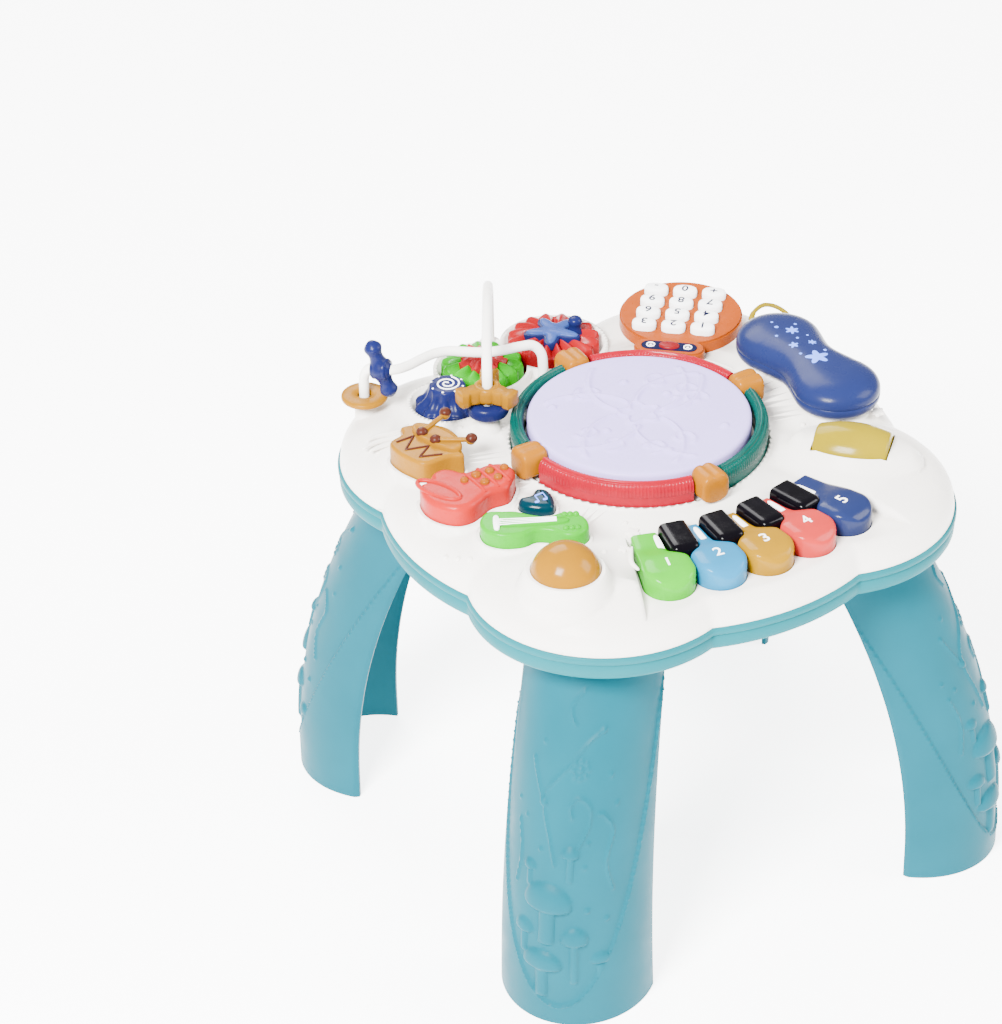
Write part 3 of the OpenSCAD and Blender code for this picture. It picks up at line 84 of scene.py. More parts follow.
@dataclass(frozen=True)
class Finish:
    """A moulded or metal surface with clouded colour, a fine grain and uneven polish.

    mottle is the share by which the colour varies, cloud_mm how far across its clouds are, grain_mm and grain
    the size and strength of the bumps, and depth how much light goes in.
    """

    name: str
    rgb: tuple[int, int, int]
    gloss: Gloss = Gloss.GLOSSY
    mottle: float = 0.05
    cloud_mm: float = 24.0
    grain_mm: float = 0.9
    grain: float = 0.12
    metal: float = 0.0
    depth: float = 0.0

    def material(self) -> bpy.types.Material:
        """Makes the material, or returns the one made before.

        Returns:
            A node material whose patterns lie on Object coordinates.
        """
        label = "look_" + self.name
        known = bpy.data.materials.get(label)
        if known:
            return known
        mat = bpy.data.materials.new(label)
        mat.use_nodes = True
        tree = mat.node_tree
        shader = tree.nodes["Principled BSDF"]
        coords = tree.nodes.new("ShaderNodeTexCoord")

        def noise(size_mm: float, detail: float) -> bpy.types.Node:
            """A noise over the object's own coordinates.

            Args:
                size_mm: about how far across its features are.
                detail: how many finer layers it has.

            Returns:
                The noise node.
            """
            node = tree.nodes.new("ShaderNodeTexNoise")
            node.inputs["Scale"].default_value = 1000 / size_mm
            node.inputs["Detail"].default_value = detail
            tree.links.new(coords.outputs["Object"], node.inputs["Vector"])
            return node

        base = np.array(linear(self.rgb))
        ramp = tree.nodes.new("ShaderNodeValToRGB")
        ramp.color_ramp.elements[0].position = 0.3
        ramp.color_ramp.elements[1].position = 0.7
        ramp.color_ramp.elements[0].color = (*np.clip(base * (1 - self.mottle), 0, 1), 1)
        ramp.color_ramp.elements[1].color = (*np.clip(base * (1 + self.mottle), 0, 1), 1)
        tree.links.new(noise(self.cloud_mm, 3).outputs["Fac"], ramp.inputs["Fac"])
        tree.links.new(ramp.outputs["Color"], shader.inputs["Base Color"])
        rough, coat, specular = self.gloss.value
        shader.inputs["Specular IOR Level"].default_value = specular
        polish = tree.nodes.new("ShaderNodeMapRange")
        polish.inputs["From Min"].default_value = 0.3
        polish.inputs["From Max"].default_value = 0.7
        polish.inputs["To Min"].default_value = max(rough - 0.04, 0.02)
        polish.inputs["To Max"].default_value = rough + 0.06
        tree.links.new(noise(self.cloud_mm * 0.35, 4).outputs["Fac"], polish.inputs["Value"])
        tree.links.new(polish.outputs["Result"], shader.inputs["Roughness"])
        bump = tree.nodes.new("ShaderNodeBump")
        bump.inputs["Strength"].default_value = self.grain
        bump.inputs["Distance"].default_value = 0.0002
        tree.links.new(noise(self.grain_mm, 2).outputs["Fac"], bump.inputs["Height"])
        tree.links.new(bump.outputs["Normal"], shader.inputs["Normal"])
        shader.inputs["Metallic"].default_value = self.metal
        shader.inputs["Coat Weight"].default_value = coat
        shader.inputs["Coat Roughness"].default_value = 0.08
        if self.depth:
            shader.inputs["Subsurface Weight"].default_value = self.depth
            shader.inputs["Subsurface Radius"].default_value = (0.004, 0.003, 0.003)
            shader.inputs["Subsurface Scale"].default_value = 1.0
        return mat


COVER = Finish("cover_white", (230, 225, 218), Gloss.GLOSSY, 0.02, 60, 1.2, 0.08)
RIM = Finish("rim_teal", (9, 90, 97), Gloss.SATIN, 0.05, 40)
LEG = Finish("leg_teal", (1, 74, 86), Gloss.SATIN, 0.06, 45, 1.0, 0.1)
STEEL = Finish("plain_steel", (190, 190, 195), Gloss.METAL, 0.08, 3, 0.4, 0.2, 1.0)
CELL = Finish("cell_sleeve", (60, 62, 70), Gloss.SATIN, 0.1, 12)
CONE = Finish("speaker_cone", (45, 45, 48), Gloss.MATT, 0.15, 6, 0.5, 0.5)
BOARD = Finish("board_green", (20, 110, 60), Gloss.SATIN, 0.18, 5, 0.6, 0.4)
BOARD_PALE = Finish("board_white", (232, 232, 228), Gloss.SATIN, 0.06, 6, 0.6, 0.3)
SWITCH = Finish("switch_black", (40, 40, 44), Gloss.SATIN, 0.1, 8)
SKIN = Finish("drum_skin", (169, 153, 212), Gloss.GLOSSY, 0.03, 35, 1.0, 0.1, depth=0.15)
TUBE_RED = Finish("tube_red", (134, 4, 28), Gloss.WET, 0.08, 12, 0.8, 0.1, depth=0.1)
TUBE_GREEN = Finish("tube_green", (2, 61, 54), Gloss.WET, 0.08, 12, 0.8, 0.1, depth=0.1)
CLIP = Finish("clip_orange", (137, 83, 2), Gloss.GLOSSY, 0.05, 14)
CORAL = Finish("dial_coral", (137, 59, 4), Gloss.GLOSSY, 0.05, 26)
BUTTON = Finish("button_white", (249, 249, 249), Gloss.GLOSSY, 0.02, 9)
INK = Finish("ink_blue", (5, 10, 44), Gloss.SATIN, 0.08, 4)
WINDOW = Finish("window_blue", (13, 16, 45), Gloss.WET, 0.1, 8)
RED_DOT = Finish("print_red", (106, 13, 19), Gloss.GLOSSY, 0.06, 6)
PALE = Finish("print_pale_blue", (99, 132, 234), Gloss.SATIN, 0.05, 6)
WHITE_INK = Finish("print_white", (250, 250, 250), Gloss.SATIN, 0.02, 6)
HANDSET = Finish("handset_blue", (26, 34, 73), Gloss.GLOSSY, 0.07, 34, 1.0, 0.08)
CORD = Finish("cord_yellow", (123, 104, 1), Gloss.SATIN, 0.08, 5, 0.5, 0.3)
GEAR_RED = Finish("gear_red", (130, 13, 19), Gloss.GLOSSY, 0.06, 12)
GEAR_GREEN = Finish("gear_green", (30, 130, 2), Gloss.GLOSSY, 0.06, 12)
NAVY = Finish("navy_blue", (19, 24, 65), Gloss.GLOSSY, 0.09, 10)
SPLASH = Finish("splash_blue", (45, 65, 119), Gloss.GLOSSY, 0.06, 8)
FLOWER = Finish("flower_pink", (134, 22, 26), Gloss.GLOSSY, 0.06, 8)
RAIL = Finish("rail_white", (238, 235, 229), Gloss.GLOSSY, 0.03, 20, 1.0, 0.1)
AMBER = Finish("bead_amber", (127, 84, 1), Gloss.GLOSSY, 0.05, 12)
YELLOW = Finish("roller_yellow", (127, 110, 1), Gloss.WET, 0.05, 18)
BALL = Finish("ball_orange", (127, 84, 1), Gloss.WET, 0.04, 16)
DRUM_TOY = Finish("picture_orange", (127, 84, 2), Gloss.GLOSSY, 0.06, 14)
BROWN = Finish("picture_brown", (61, 28, 19), Gloss.GLOSSY, 0.08, 6)
SAX = Finish("picture_coral", (152, 26, 22), Gloss.GLOSSY, 0.06, 14)
SAX_KEYS = Finish("picture_key_orange", (127, 65, 2), Gloss.GLOSSY, 0.06, 6)
GUITAR = Finish("picture_green", (34, 143, 2), Gloss.GLOSSY, 0.06, 14)
HEART = Finish("picture_teal", (4, 35, 45), Gloss.WET, 0.08, 10)
BLACK = Finish("key_black", (4, 3, 6), Gloss.WET, 0.2, 14)


# ---------------------------------------------------------------- shapes


def fan(a: np.ndarray) -> np.ndarray:
    """Angles in degrees to unit vectors (cos a, sin a)."""
    r = np.radians(a)
    return np.stack([np.cos(r), np.sin(r)], -1)


def bulged(q: np.ndarray, power: float) -> np.ndarray:
    """Raises each number's size to a power and keeps its sign: sign(q) |q| ** power."""
    return np.sign(q) * np.abs(q) ** power


def revolved(profile: np.ndarray, columns: np.ndarray) -> np.ndarray:
    """Turns a profile about Z: (r cos t, r sin t, z).

    Args:
        profile: rows of (radius, height).
        columns: the unit vector (cos t, sin t) of each column.
    Returns:
        A grid of points, (rows, columns, 3).
    """
    heights = np.repeat(profile[:, None, 1:], len(columns), 1)
    return np.concatenate([profile[:, None, :1] * columns[None], heights], -1)


def dome_over(x: np.ndarray, y: np.ndarray, at: tuple[float, float], square: float) -> np.ndarray:
    """Share of a round dome's height: sqrt(1 - ((x - x0)^2 + (y - y0)^2) / r^2), and 0 outside it.

    Args:
        x: first coordinate of the places.
        y: second coordinate of the places.
        at: the dome's middle.
        square: its radius squared.
    Returns:
        Numbers from 0 to 1.
    """
    return np.sqrt(np.maximum(1 - ((x - at[0]) ** 2 + (y - at[1]) ** 2) / square, 0))


def turned(p: np.ndarray, degrees: float, at: tuple[float, float] = (0, 0)) -> np.ndarray:
    """Turns points about +Z and then moves them in the plane.

    Args:
        p: points whose first two numbers are X and Y.
        degrees: turn, anticlockwise seen from above.
        at: where the origin goes.
    Returns:
        A new array: x' = x cos t - y sin t + at_x, y' = x sin t + y cos t + at_y.
    """
    c, s = math.cos(math.radians(degrees)), math.sin(math.radians(degrees))
    out = np.array(p, float)
    out[..., 0], out[..., 1] = p[..., 0] * c - p[..., 1] * s + at[0], p[..., 0] * s + p[..., 1] * c + at[1]
    return out


def spline(knots: np.ndarray, steps: int, closed: bool = False) -> np.ndarray:
    """A curve through points: on each stretch a cubic whose slopes are half the neighbours' difference.

    Args:
        knots: the points, one a row.
        steps: how many parts each stretch gets.
        closed: whether the last point leads back to the first.
    Returns:
        The points of the curve.
    """
    p = np.array(knots, float)
    ext = np.vstack([p[-1:], p, p[:2]]) if closed else np.vstack([p[:1], p, p[-1:]])
    a, b, c, d = ext[:-3, None], ext[1:-2, None], ext[2:-1, None], ext[3:, None]
    t = (np.arange(steps) / steps)[None, :, None]
    out = 0.5 * (2 * b + (c - a) * t + (2 * a - 5 * b + 4 * c - d) * t**2 + (3 * b - a - 3 * c + d) * t**3)
    out = out.reshape(-1, p.shape[1])
    return out if closed else np.vstack([out, p[-1:]])


def grown(outline: np.ndarray, d: float) -> np.ndarray:
    """Moves a closed anticlockwise outline outwards along the normal at each corner.

    Args:
        outline: its points.
        d: how far, in millimetres; inwards if negative.

    Returns:
        The moved points.
    """
    e = np.roll(outline, -1, 0) - np.roll(outline, 1, 0)
    e /= np.linalg.norm(e, axis=1, keepdims=True)
    return outline + d * np.stack([e[:, 1], -e[:, 0]], -1)


def anticlockwise(p: np.ndarray) -> np.ndarray:
    """The outline, reversed if its signed area is negative."""
    n = np.roll(p, -1, 0)
    return p if np.sum(p[:, 0] * n[:, 1] - n[:, 0] * p[:, 1]) > 0 else p[::-1]


def smooth_curve(x: np.ndarray, knots: np.ndarray) -> np.ndarray:
    """A rising curve through knots that never overshoots.

    Args:
        x: where it is wanted.
        knots: rows of (place, value), rising.
    Returns:
        Cubic pieces h00 y0 + h10 w m0 + h01 y1 + h11 w m1, with harmonic mean slopes at the knots.
    """
    kx, ky = knots[:, 0], knots[:, 1]
    w = np.diff(kx)
    s = np.diff(ky) / w
    m = np.concatenate([[s[0]], 2 * s[:-1] * s[1:] / (s[:-1] + s[1:]), [0.0]])
    i = np.clip(np.searchsorted(kx, x) - 1, 0, len(w) - 1)
    t = np.clip((x - kx[i]) / w[i], 0, 1)
    return ((1 + 2 * t) * (1 - t) ** 2 * ky[i] + t * (1 - t) ** 2 * w[i] * m[i]
            + t * t * (3 - 2 * t) * ky[i + 1] + t * t * (t - 1) * w[i] * m[i + 1])


class Skin:
    """Points and faces of one piece, gathered from grids, in millimetres."""

    def __init__(self) -> None:
        """Starts with no faces."""
        self.points: list[np.ndarray] = []
        self.loops: list[np.ndarray] = []
        self.sizes: list[np.ndarray] = []
        self.count = 0

    def faces(self, points: np.ndarray, faces: np.ndarray) -> None:
        """Adds points and the faces between them.

        Args:
            points: rows of X, Y, Z.
            faces: rows of indices into those points.
        """
        self.points.append(points.reshape(-1, 3))
        self.loops.append((faces + self.count).ravel())
        self.sizes.append(np.full(len(faces), faces.shape[1]))
        self.count += points.size // 3

    def grid(self, p: np.ndarray, wrap_u: bool = False, wrap_v: bool = True,
             cap_low: bool = False, cap_high: bool = False) -> "Skin":
        """Adds a grid p[u, v] as quads between neighbours.

        Args:
            p: an array of points, (rows, columns, 3).
            wrap_u: joins the last row to the first.
            wrap_v: joins the last column to the first.
            cap_low: closes the first row with one face.
            cap_high: closes the last row with one face.
        Returns:
            This skin, so that calls can follow each other.
        """
        idx = np.arange(p.shape[0] * p.shape[1]).reshape(p.shape[:2])
        rings = np.vstack([idx, idx[:1]]) if wrap_u else idx
        rings = np.hstack([rings, rings[:, :1]]) if wrap_v else rings
        quads = np.stack([rings[:-1, :-1], rings[:-1, 1:], rings[1:, 1:], rings[1:, :-1]], -1)
        base = self.count
        self.faces(p, quads.reshape(-1, 4))
        for wanted, row in ((cap_low, idx[0][::-1]), (cap_high, idx[-1])):
            if wanted:
                self.loops.append(row + base)
                self.sizes.append(np.array([len(row)]))
        return self

    def lathe(self, profile: np.ndarray, at: Point = (0, 0, 0), turns: int = 96,
              along: Point = (0, 0, 1)) -> "Skin":
        """Turns a profile of (radius, height) about an axis: (r cos t, r sin t, z).

        Args:
            profile: rows of (radius, height).
            at: the point on the axis where height is 0.
            turns: how many columns the circle gets.
            along: the axis.
        Returns:
            This skin.
        """
        p = revolved(profile, fan(np.arange(turns) * 360 / turns))
        q = np.array(Vector(along).to_track_quat("Z", "Y").to_matrix())
        return self.grid(p @ q.T + np.array(at))

    def pad(self, outline: np.ndarray, steps: np.ndarray) -> "Skin":
        """Carries an outline upwards: at each step (height, inset) it is moved inwards by inset."""
        rings = [np.column_stack([grown(outline, -s[1]), np.full(len(outline), s[0])]) for s in steps]
        return self.grid(np.stack(rings), cap_low=True, cap_high=True)

    def tube(self, path: np.ndarray, radius: np.ndarray | float, across: Point, sides: int = 20) -> "Skin":
        """A round tube along a path: path + r (cos t n + sin t b).

        Args:
            path: rows of points.
            radius: one radius, or one for each point.
            across: a direction that the path never runs along, from which n is made.
            sides: how many columns the circle gets.
        Returns:
            This skin.
        """
        path = np.array(path, float)
        t = np.gradient(path, axis=0)
        t /= np.linalg.norm(t, axis=1, keepdims=True)
        n = np.array(across, float) - (t @ np.array(across, float))[:, None] * t
        n /= np.linalg.norm(n, axis=1, keepdims=True)
        b = np.cross(t, n)
        c = fan(np.arange(sides) * 360 / sides)
        r = np.broadcast_to(np.asarray(radius, float), (len(path),))[:, None, None]
        p = path[:, None] + r * (c[None, :, :1] * n[:, None] + c[None, :, 1:] * b[:, None])
        return self.grid(p, cap_low=True, cap_high=True)

    def ball(self, at: Point, radius: float | Point, rows: int = 24) -> "Skin":
        """A sphere or ellipsoid: at + radius (sin v cos t, sin v sin t, cos v).

        Args:
            at: its centre.
            radius: one radius, or one along each axis.
            rows: grid lines from pole to pole; round it go twice as many.

        Returns:
            The skin.
        """
        v = np.radians(np.linspace(180, 0, rows))
        ring = revolved(np.column_stack([np.sin(v), np.cos(v)]), fan(np.arange(rows * 2) * 180 / rows))
        return self.grid(ring * np.broadcast_to(radius, 3) + np.array(at))

    def build(self, name: str, finish: Finish, body: str, replaces: tuple[str, ...] = (),
              slot: str | None = None, sharp: float = 40.0) -> bpy.types.Object:
        """Makes the piece and hangs it on its body.

        Args:
            name: the piece's name.
            finish: its surface.
            body: the body that it rides on.
            replaces: the solids that it stands for.
            slot: the record's material slot; not used.
            sharp: the angle in degrees above which an edge stays crisp.
        Returns:
            The new object.
        """
        mesh = bpy.data.meshes.new(name)
        co = np.vstack(self.points) * MM
        loops, sizes = np.concatenate(self.loops), np.concatenate(self.sizes)
        mesh.vertices.add(len(co))
        mesh.vertices.foreach_set("co", co.astype(np.float32).ravel())
        mesh.loops.add(len(loops))
        mesh.loops.foreach_set("vertex_index", loops.astype(np.int32))
        mesh.polygons.add(len(sizes))
        mesh.polygons.foreach_set("loop_start", np.concatenate([[0], np.cumsum(sizes)[:-1]]).astype(np.int32))
        mesh.update(calc_edges=True)
        mesh.validate()
        work = bmesh.new()
        work.from_mesh(mesh)
        bmesh.ops.remove_doubles(work, verts=work.verts, dist=2e-6)
        bmesh.ops.recalc_face_normals(work, faces=work.faces)
        work.to_mesh(mesh)
        work.free()
        return dressed(mesh, name, finish, body, replaces, sharp)


def dressed(mesh: bpy.types.Mesh, name: str, finish: Finish, body: str, replaces: tuple[str, ...] = (),
            sharp: float = 40.0) -> bpy.types.Object:
    """Gives a mesh its shading, material and body.

    Args:
        mesh: the finished mesh, with its place in its vertices.
        name: the piece's name.
        finish: its surface.
        body: the body that it rides on.
        replaces: the solids that it stands for.
        sharp: the angle in degrees above which an edge stays crisp.
    Returns:
        The new object.
    """
    mesh.polygons.foreach_set("use_smooth", np.ones(len(mesh.polygons), bool))
    mesh.set_sharp_from_angle(angle=math.radians(sharp))
    mesh.materials.clear()
    mesh.materials.append(finish.material())
    piece = bpy.data.objects.new(name, mesh)
    bpy.context.scene.collection.objects.link(piece)
    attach(piece, body)
    if replaces:
        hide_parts(*replaces)
    log.info("%s: %d faces on %s", name, len(mesh.polygons), body)
    return piece


def as_it_is(node: str, finish: Finish) -> None:
    """Keeps a solid's own mesh and gives it a finish.

    Args:
        node: the solid's name in the frame.
        finish: its surface.
    """
    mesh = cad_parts[node].data
    mesh.materials.clear()
    mesh.materials.append(finish.material())


def merged_copy(node: str) -> bmesh.types.BMesh:
    """A solid's mesh with its loose triangles joined.

    Args:
        node: the solid's name.
    Returns:
        A mesh to work on, with flat faces made whole.
    """
    work = bmesh.new()
    work.from_mesh(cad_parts[node].data)
    bmesh.ops.remove_doubles(work, verts=work.verts, dist=1e-5)
    return work


def rounded(node: str, name: str, finish: Finish, body: str, edge_mm: float) -> bpy.types.Object:
    """A solid with its crisp edges rounded.

    Args:
        node: the solid that it is made from and stands for.
        name: the piece's name.
        finish: its surface.
        body: the body that it rides on.
        edge_mm: the width of the rounding.
    Returns:
        The new object.
    """
    work = merged_copy(node)
    bmesh.ops.dissolve_limit(work, angle_limit=math.radians(1.5), verts=work.verts, edges=work.edges)
    mesh = bpy.data.meshes.new(name)
    work.to_mesh(mesh)
    work.free()
    piece = dressed(mesh, name, finish, body, (node,))
    soft = piece.modifiers.new("round", "BEVEL")
    soft.width = edge_mm * MM
    soft.segments = 3
    soft.limit_method = "ANGLE"
    soft.angle_limit = math.radians(38)
    soft.harden_normals = True
    return piece


def numeral(text: str, name: str, finish: Finish, body: str, at: Point, turn: float,
            size: float) -> bpy.types.Object:
    """A plain numeral as a thin raised mesh.

    Args:
        text: the numeral.
        name: the piece's name.
        finish: its surface.
        body: the body that it rides on.
        at: its middle, in millimetres.
        turn: the direction of its line of writing, in degrees.
        size: the height of the line in millimetres.
    Returns:
        The new object.
    """
    curve = bpy.data.curves.new(name, "FONT")
    curve.body = text
    curve.size = size * MM
    curve.extrude = 0.00012
    curve.align_x, curve.align_y = "CENTER", "CENTER"
    curve.offset = 0.00012
    maker = bpy.data.objects.new(name + "_maker", curve)
    bpy.context.scene.collection.objects.link(maker)
    bpy.context.view_layer.update()
    mesh = bpy.data.meshes.new_from_object(maker.evaluated_get(bpy.context.evaluated_depsgraph_get()))
    bpy.data.objects.remove(maker)
    co = np.zeros(len(mesh.vertices) * 3)
    mesh.vertices.foreach_get("co", co)
    co = turned(co.reshape(-1, 3), turn, (at[0] * MM, at[1] * MM))
    co[:, 2] += at[2] * MM
    mesh.vertices.foreach_set("co", co.ravel())
    mesh.update()
    return dressed(mesh, name, finish, body, sharp=30)


def near_path(s: np.ndarray, z: np.ndarray, path: np.ndarray) -> np.ndarray:
    """Distance from each (s, z) to the nearest stretch of a path in that plane.

    Args:
        s: first coordinate of the places.
        z: second coordinate of the places.
        path: rows of points.
    Returns:
        The least distance, over all stretches, to the foot of the perpendicular kept on the stretch.
    """
    a, b = path[:-1], path[1:]
    d = b - a
    q = np.stack([s, z], -1)[..., None, :] - a
    t = np.clip(np.sum(q * d, -1) / np.maximum(np.sum(d * d, -1), 1e-9), 0, 1)
    return np.min(np.linalg.norm(q - t[..., None] * d, axis=-1), -1)


# ---------------------------------------------------------------- outline


@dataclass
class Outline:
    """The lobed outline of the top: four side bulges and four corner lobes."""

    side_r: float = 159.2
    side_at: float = 15.8
    corner_r: float = 87.3
    corner_at: float = 82.3
    edge: np.ndarray = field(default_factory=lambda: np.array(
        [[0, 0], [1, 0.26], [4.5, 0.5], [10.5, 0.7], [18, 0.84], [27, 0.94], [40, 1.0]]))

    def lobes(self) -> np.ndarray:
        """Four round lobes at the sides and four at the corners.

        Returns:
            Rows of (x, y, radius).
        """
        ways = ((1, 0), (0, 1), (-1, 0), (0, -1))
        side = [(self.side_at * c, self.side_at * s, self.side_r) for c, s in ways]
        corner = [(self.corner_at * c, self.corner_at * s, self.corner_r) for c in (-1, 1) for s in (-1, 1)]
        return np.array(side + corner)

    def inset(self, xy: np.ndarray) -> np.ndarray:
        """How far each point lies inside the edge: the greatest of (radius - distance) over the lobes."""
        l = self.lobes()
        return np.max(l[:, 2] - np.linalg.norm(xy[..., None, :] - l[:, :2], axis=-1), -1)

    def rim(self, angles: np.ndarray, out: float = 0.0) -> np.ndarray:
        """The edge along rays from the middle.

        Each lobe gives t = c.d + sqrt((c.d)^2 - |c|^2 + r^2), and the greatest counts.

        Args:
            angles: directions in degrees.
            out: how far outside the edge.
        Returns:
            Rows of X and Y.
        """
        l, d = self.lobes(), fan(angles)
        cd = d @ l[:, :2].T
        r = l[:, 2] + out
        t = cd + np.sqrt(np.maximum(cd**2 - np.sum(l[:, :2] ** 2, 1) + r**2, 0))
        return d * np.max(t, 1)[:, None]

    def height(self, d: np.ndarray, smooth: bool) -> np.ndarray:
        """Height of the soft edge at inset d, as straight stretches or as one smooth curve."""
        share = smooth_curve(d, self.edge) if smooth else np.interp(d, self.edge[:, 0], self.edge[:, 1])
        return SEAM_Z + RISE * share


OUTLINE = Outline()


# ---------------------------------------------------------------- case


@dataclass
class Case:
    """White cover with its soft edge and reliefs, teal rim and tray.

    stars are (x, y, size, turn), waves are curves through points of the cover, dots are (x, y).
    """

    step_mm: float = 3.2
    flank_end: float = 41.0
    relief_z: float = TABLE_H - 0.25
    stars: tuple[tuple[float, float, float, float], ...] = (
        (-96, 14, 5, 40), (-104, 92, 4.5, 0), (150, -50, 5, 15), (-62, -84, 5, 12), (-76, -96, 4, 30))
    waves: tuple[tuple[tuple[float, float], ...], ...] = (
        ((-158, 92), (-146, 94), (-128, 92), (-112, 97)), ((-156, 87), (-144, 88), (-126, 86), (-110, 91)),
        ((-152, 98), (-144, 100), (-130, 98), (-118, 102)), ((66, 78), (78, 70), (88, 56), (95, 44)),
        ((72, 80), (83, 72), (93, 59), (100, 46)), ((-70, -96), (-76, -104), (-80, -112), (-80, -120)))
    dots: tuple[tuple[float, float], ...] = (
        (-166, -30), (-162, -38), (-157, -45), (140, -112), (146, -104), (133, -118), (-98, 86), (-92, 80),
        (-60, -72), (-88, -92), (60, 88), (54, 94), (100, -36), (104, -44))

    def cover(self) -> None:
        """Takes the cover's solid, splits its long faces and lays its soft edge on one smooth curve."""
        work = merged_copy("top_cover")
        bmesh.ops.triangulate(work, faces=work.faces)
        for _ in range(3):
            flank = [e for e in work.edges
                     if e.calc_length() > self.step_mm * 1.4 * MM
                     and max(v.co.z for v in e.verts) > (SEAM_Z + 0.3) * MM
                     and min(v.co.z for v in e.verts) < (TABLE_H - 0.05) * MM
                     and any(f.normal.z > 0.05 for f in e.link_faces)]
            bmesh.ops.subdivide_edges(work, edges=flank, cuts=1, use_grid_fill=False)
            bmesh.ops.triangulate(work, faces=work.faces)
        work.normal_update()
        up = np.array([v.normal.z for v in work.verts])
        mesh = bpy.data.meshes.new("cover")
        work.to_mesh(mesh)
        work.free()
        co = np.zeros(len(mesh.vertices) * 3)
        mesh.vertices.foreach_get("co", co)
        p = co.reshape(-1, 3) / MM
        d = OUTLINE.inset(p[:, :2])
        was = OUTLINE.height(d, False)
        slope = (OUTLINE.height(d + 0.2, False) - OUTLINE.height(d - 0.2, False)) / 0.4
        near = np.abs(p[:, 2] - was) < 0.06 + 0.25 * slope
        on_top = (up > 0.05) & (d > 0.05) & (d < self.flank_end) & near
        p[on_top, 2] = OUTLINE.height(d, True)[on_top]
        mesh.vertices.foreach_set("co", (p * MM).ravel())
        mesh.update()
        dressed(mesh, "cover", COVER, "table", ("top_cover",), 32)

    def rim(self) -> None:
        """A band round the tray: bead, groove, flat side and a rounded lower edge."""
        angles = np.linspace(0, 360, 720, endpoint=False)
        profile = [(-1.0, SEAM_Z - 0.1), (0.2, SEAM_Z), (1.1, SEAM_Z - 0.7), (1.6, SEAM_Z - 2.2),
                   (1.5, SEAM_Z - 4.2), (0.9, SEAM_Z - 5.2), (0.25, SEAM_Z - 5.6), (0.2, SEAM_Z - 6.2),
                   (0.7, SEAM_Z - 6.8), (0.8, TRAY_Z + 5), (0.6, TRAY_Z + 2.5), (-0.2, TRAY_Z + 0.9),
                   (-1.4, TRAY_Z + 0.1), (-3.0, TRAY_Z - 0.15), (-3.0, TRAY_Z + 0.4)]
        rows = [np.column_stack([OUTLINE.rim(angles, o), np.full(len(angles), z)]) for o, z in profile]
        Skin().grid(np.stack(rows), wrap_u=True).build("rim_band", RIM, "table", slot="tray_teal", sharp=50)

    def reliefs(self) -> None:
        """Faint raised ornaments on the cover: stars, waves and dots with rounded tops."""
        skin = Skin()
        z = self.relief_z
        a = np.arange(0, 360, 6)
        for x, y, size, turn in self.stars:
            r = size * (0.84 + 0.16 * np.cos(np.radians(5 * a)))
            steps = np.array([[z, 0], [z + 1.3, 0.05], [z + 1.7, 0.3], [z + 1.8, 0.8]])
            skin.pad(turned(fan(a) * r[:, None], turn, (x, y)), steps)
        for wave in self.waves:
            path = spline(np.array(wave, float), 10)
            ends = np.sin(np.linspace(0, np.pi, len(path))) ** 0.4
            skin.tube(np.column_stack([path, np.full(len(path), z)]), 1.7 * ends + 0.05, (0, 0, 1), 12)
        for x, y in self.dots:
            h = OUTLINE.height(OUTLINE.inset(np.array([[x, y]], float)), True)[0] - 0.35
            skin.ball((x, y, h), (2.0, 2.0, 1.9), 10)
        skin.build("cover_reliefs", COVER, "table", slot="cover_white", sharp=60)

    def build(self) -> None:
        """Makes the case and dresses what shows as it is."""
        self.cover()
        self.rim()
        self.reliefs()
        for node, finish in (("base_tray", RIM), ("battery_door", RIM), ("case_screws", STEEL),
                             ("batteries", CELL),
                             ("battery_contacts", STEEL), ("speaker", CONE), ("main_board", BOARD),
                             ("light_board", BOARD_PALE), ("power_switch", SWITCH), ("key_pins", STEEL),
                             ("roller_axle", STEEL)):
            as_it_is(node, finish)


# ---------------------------------------------------------------- legs


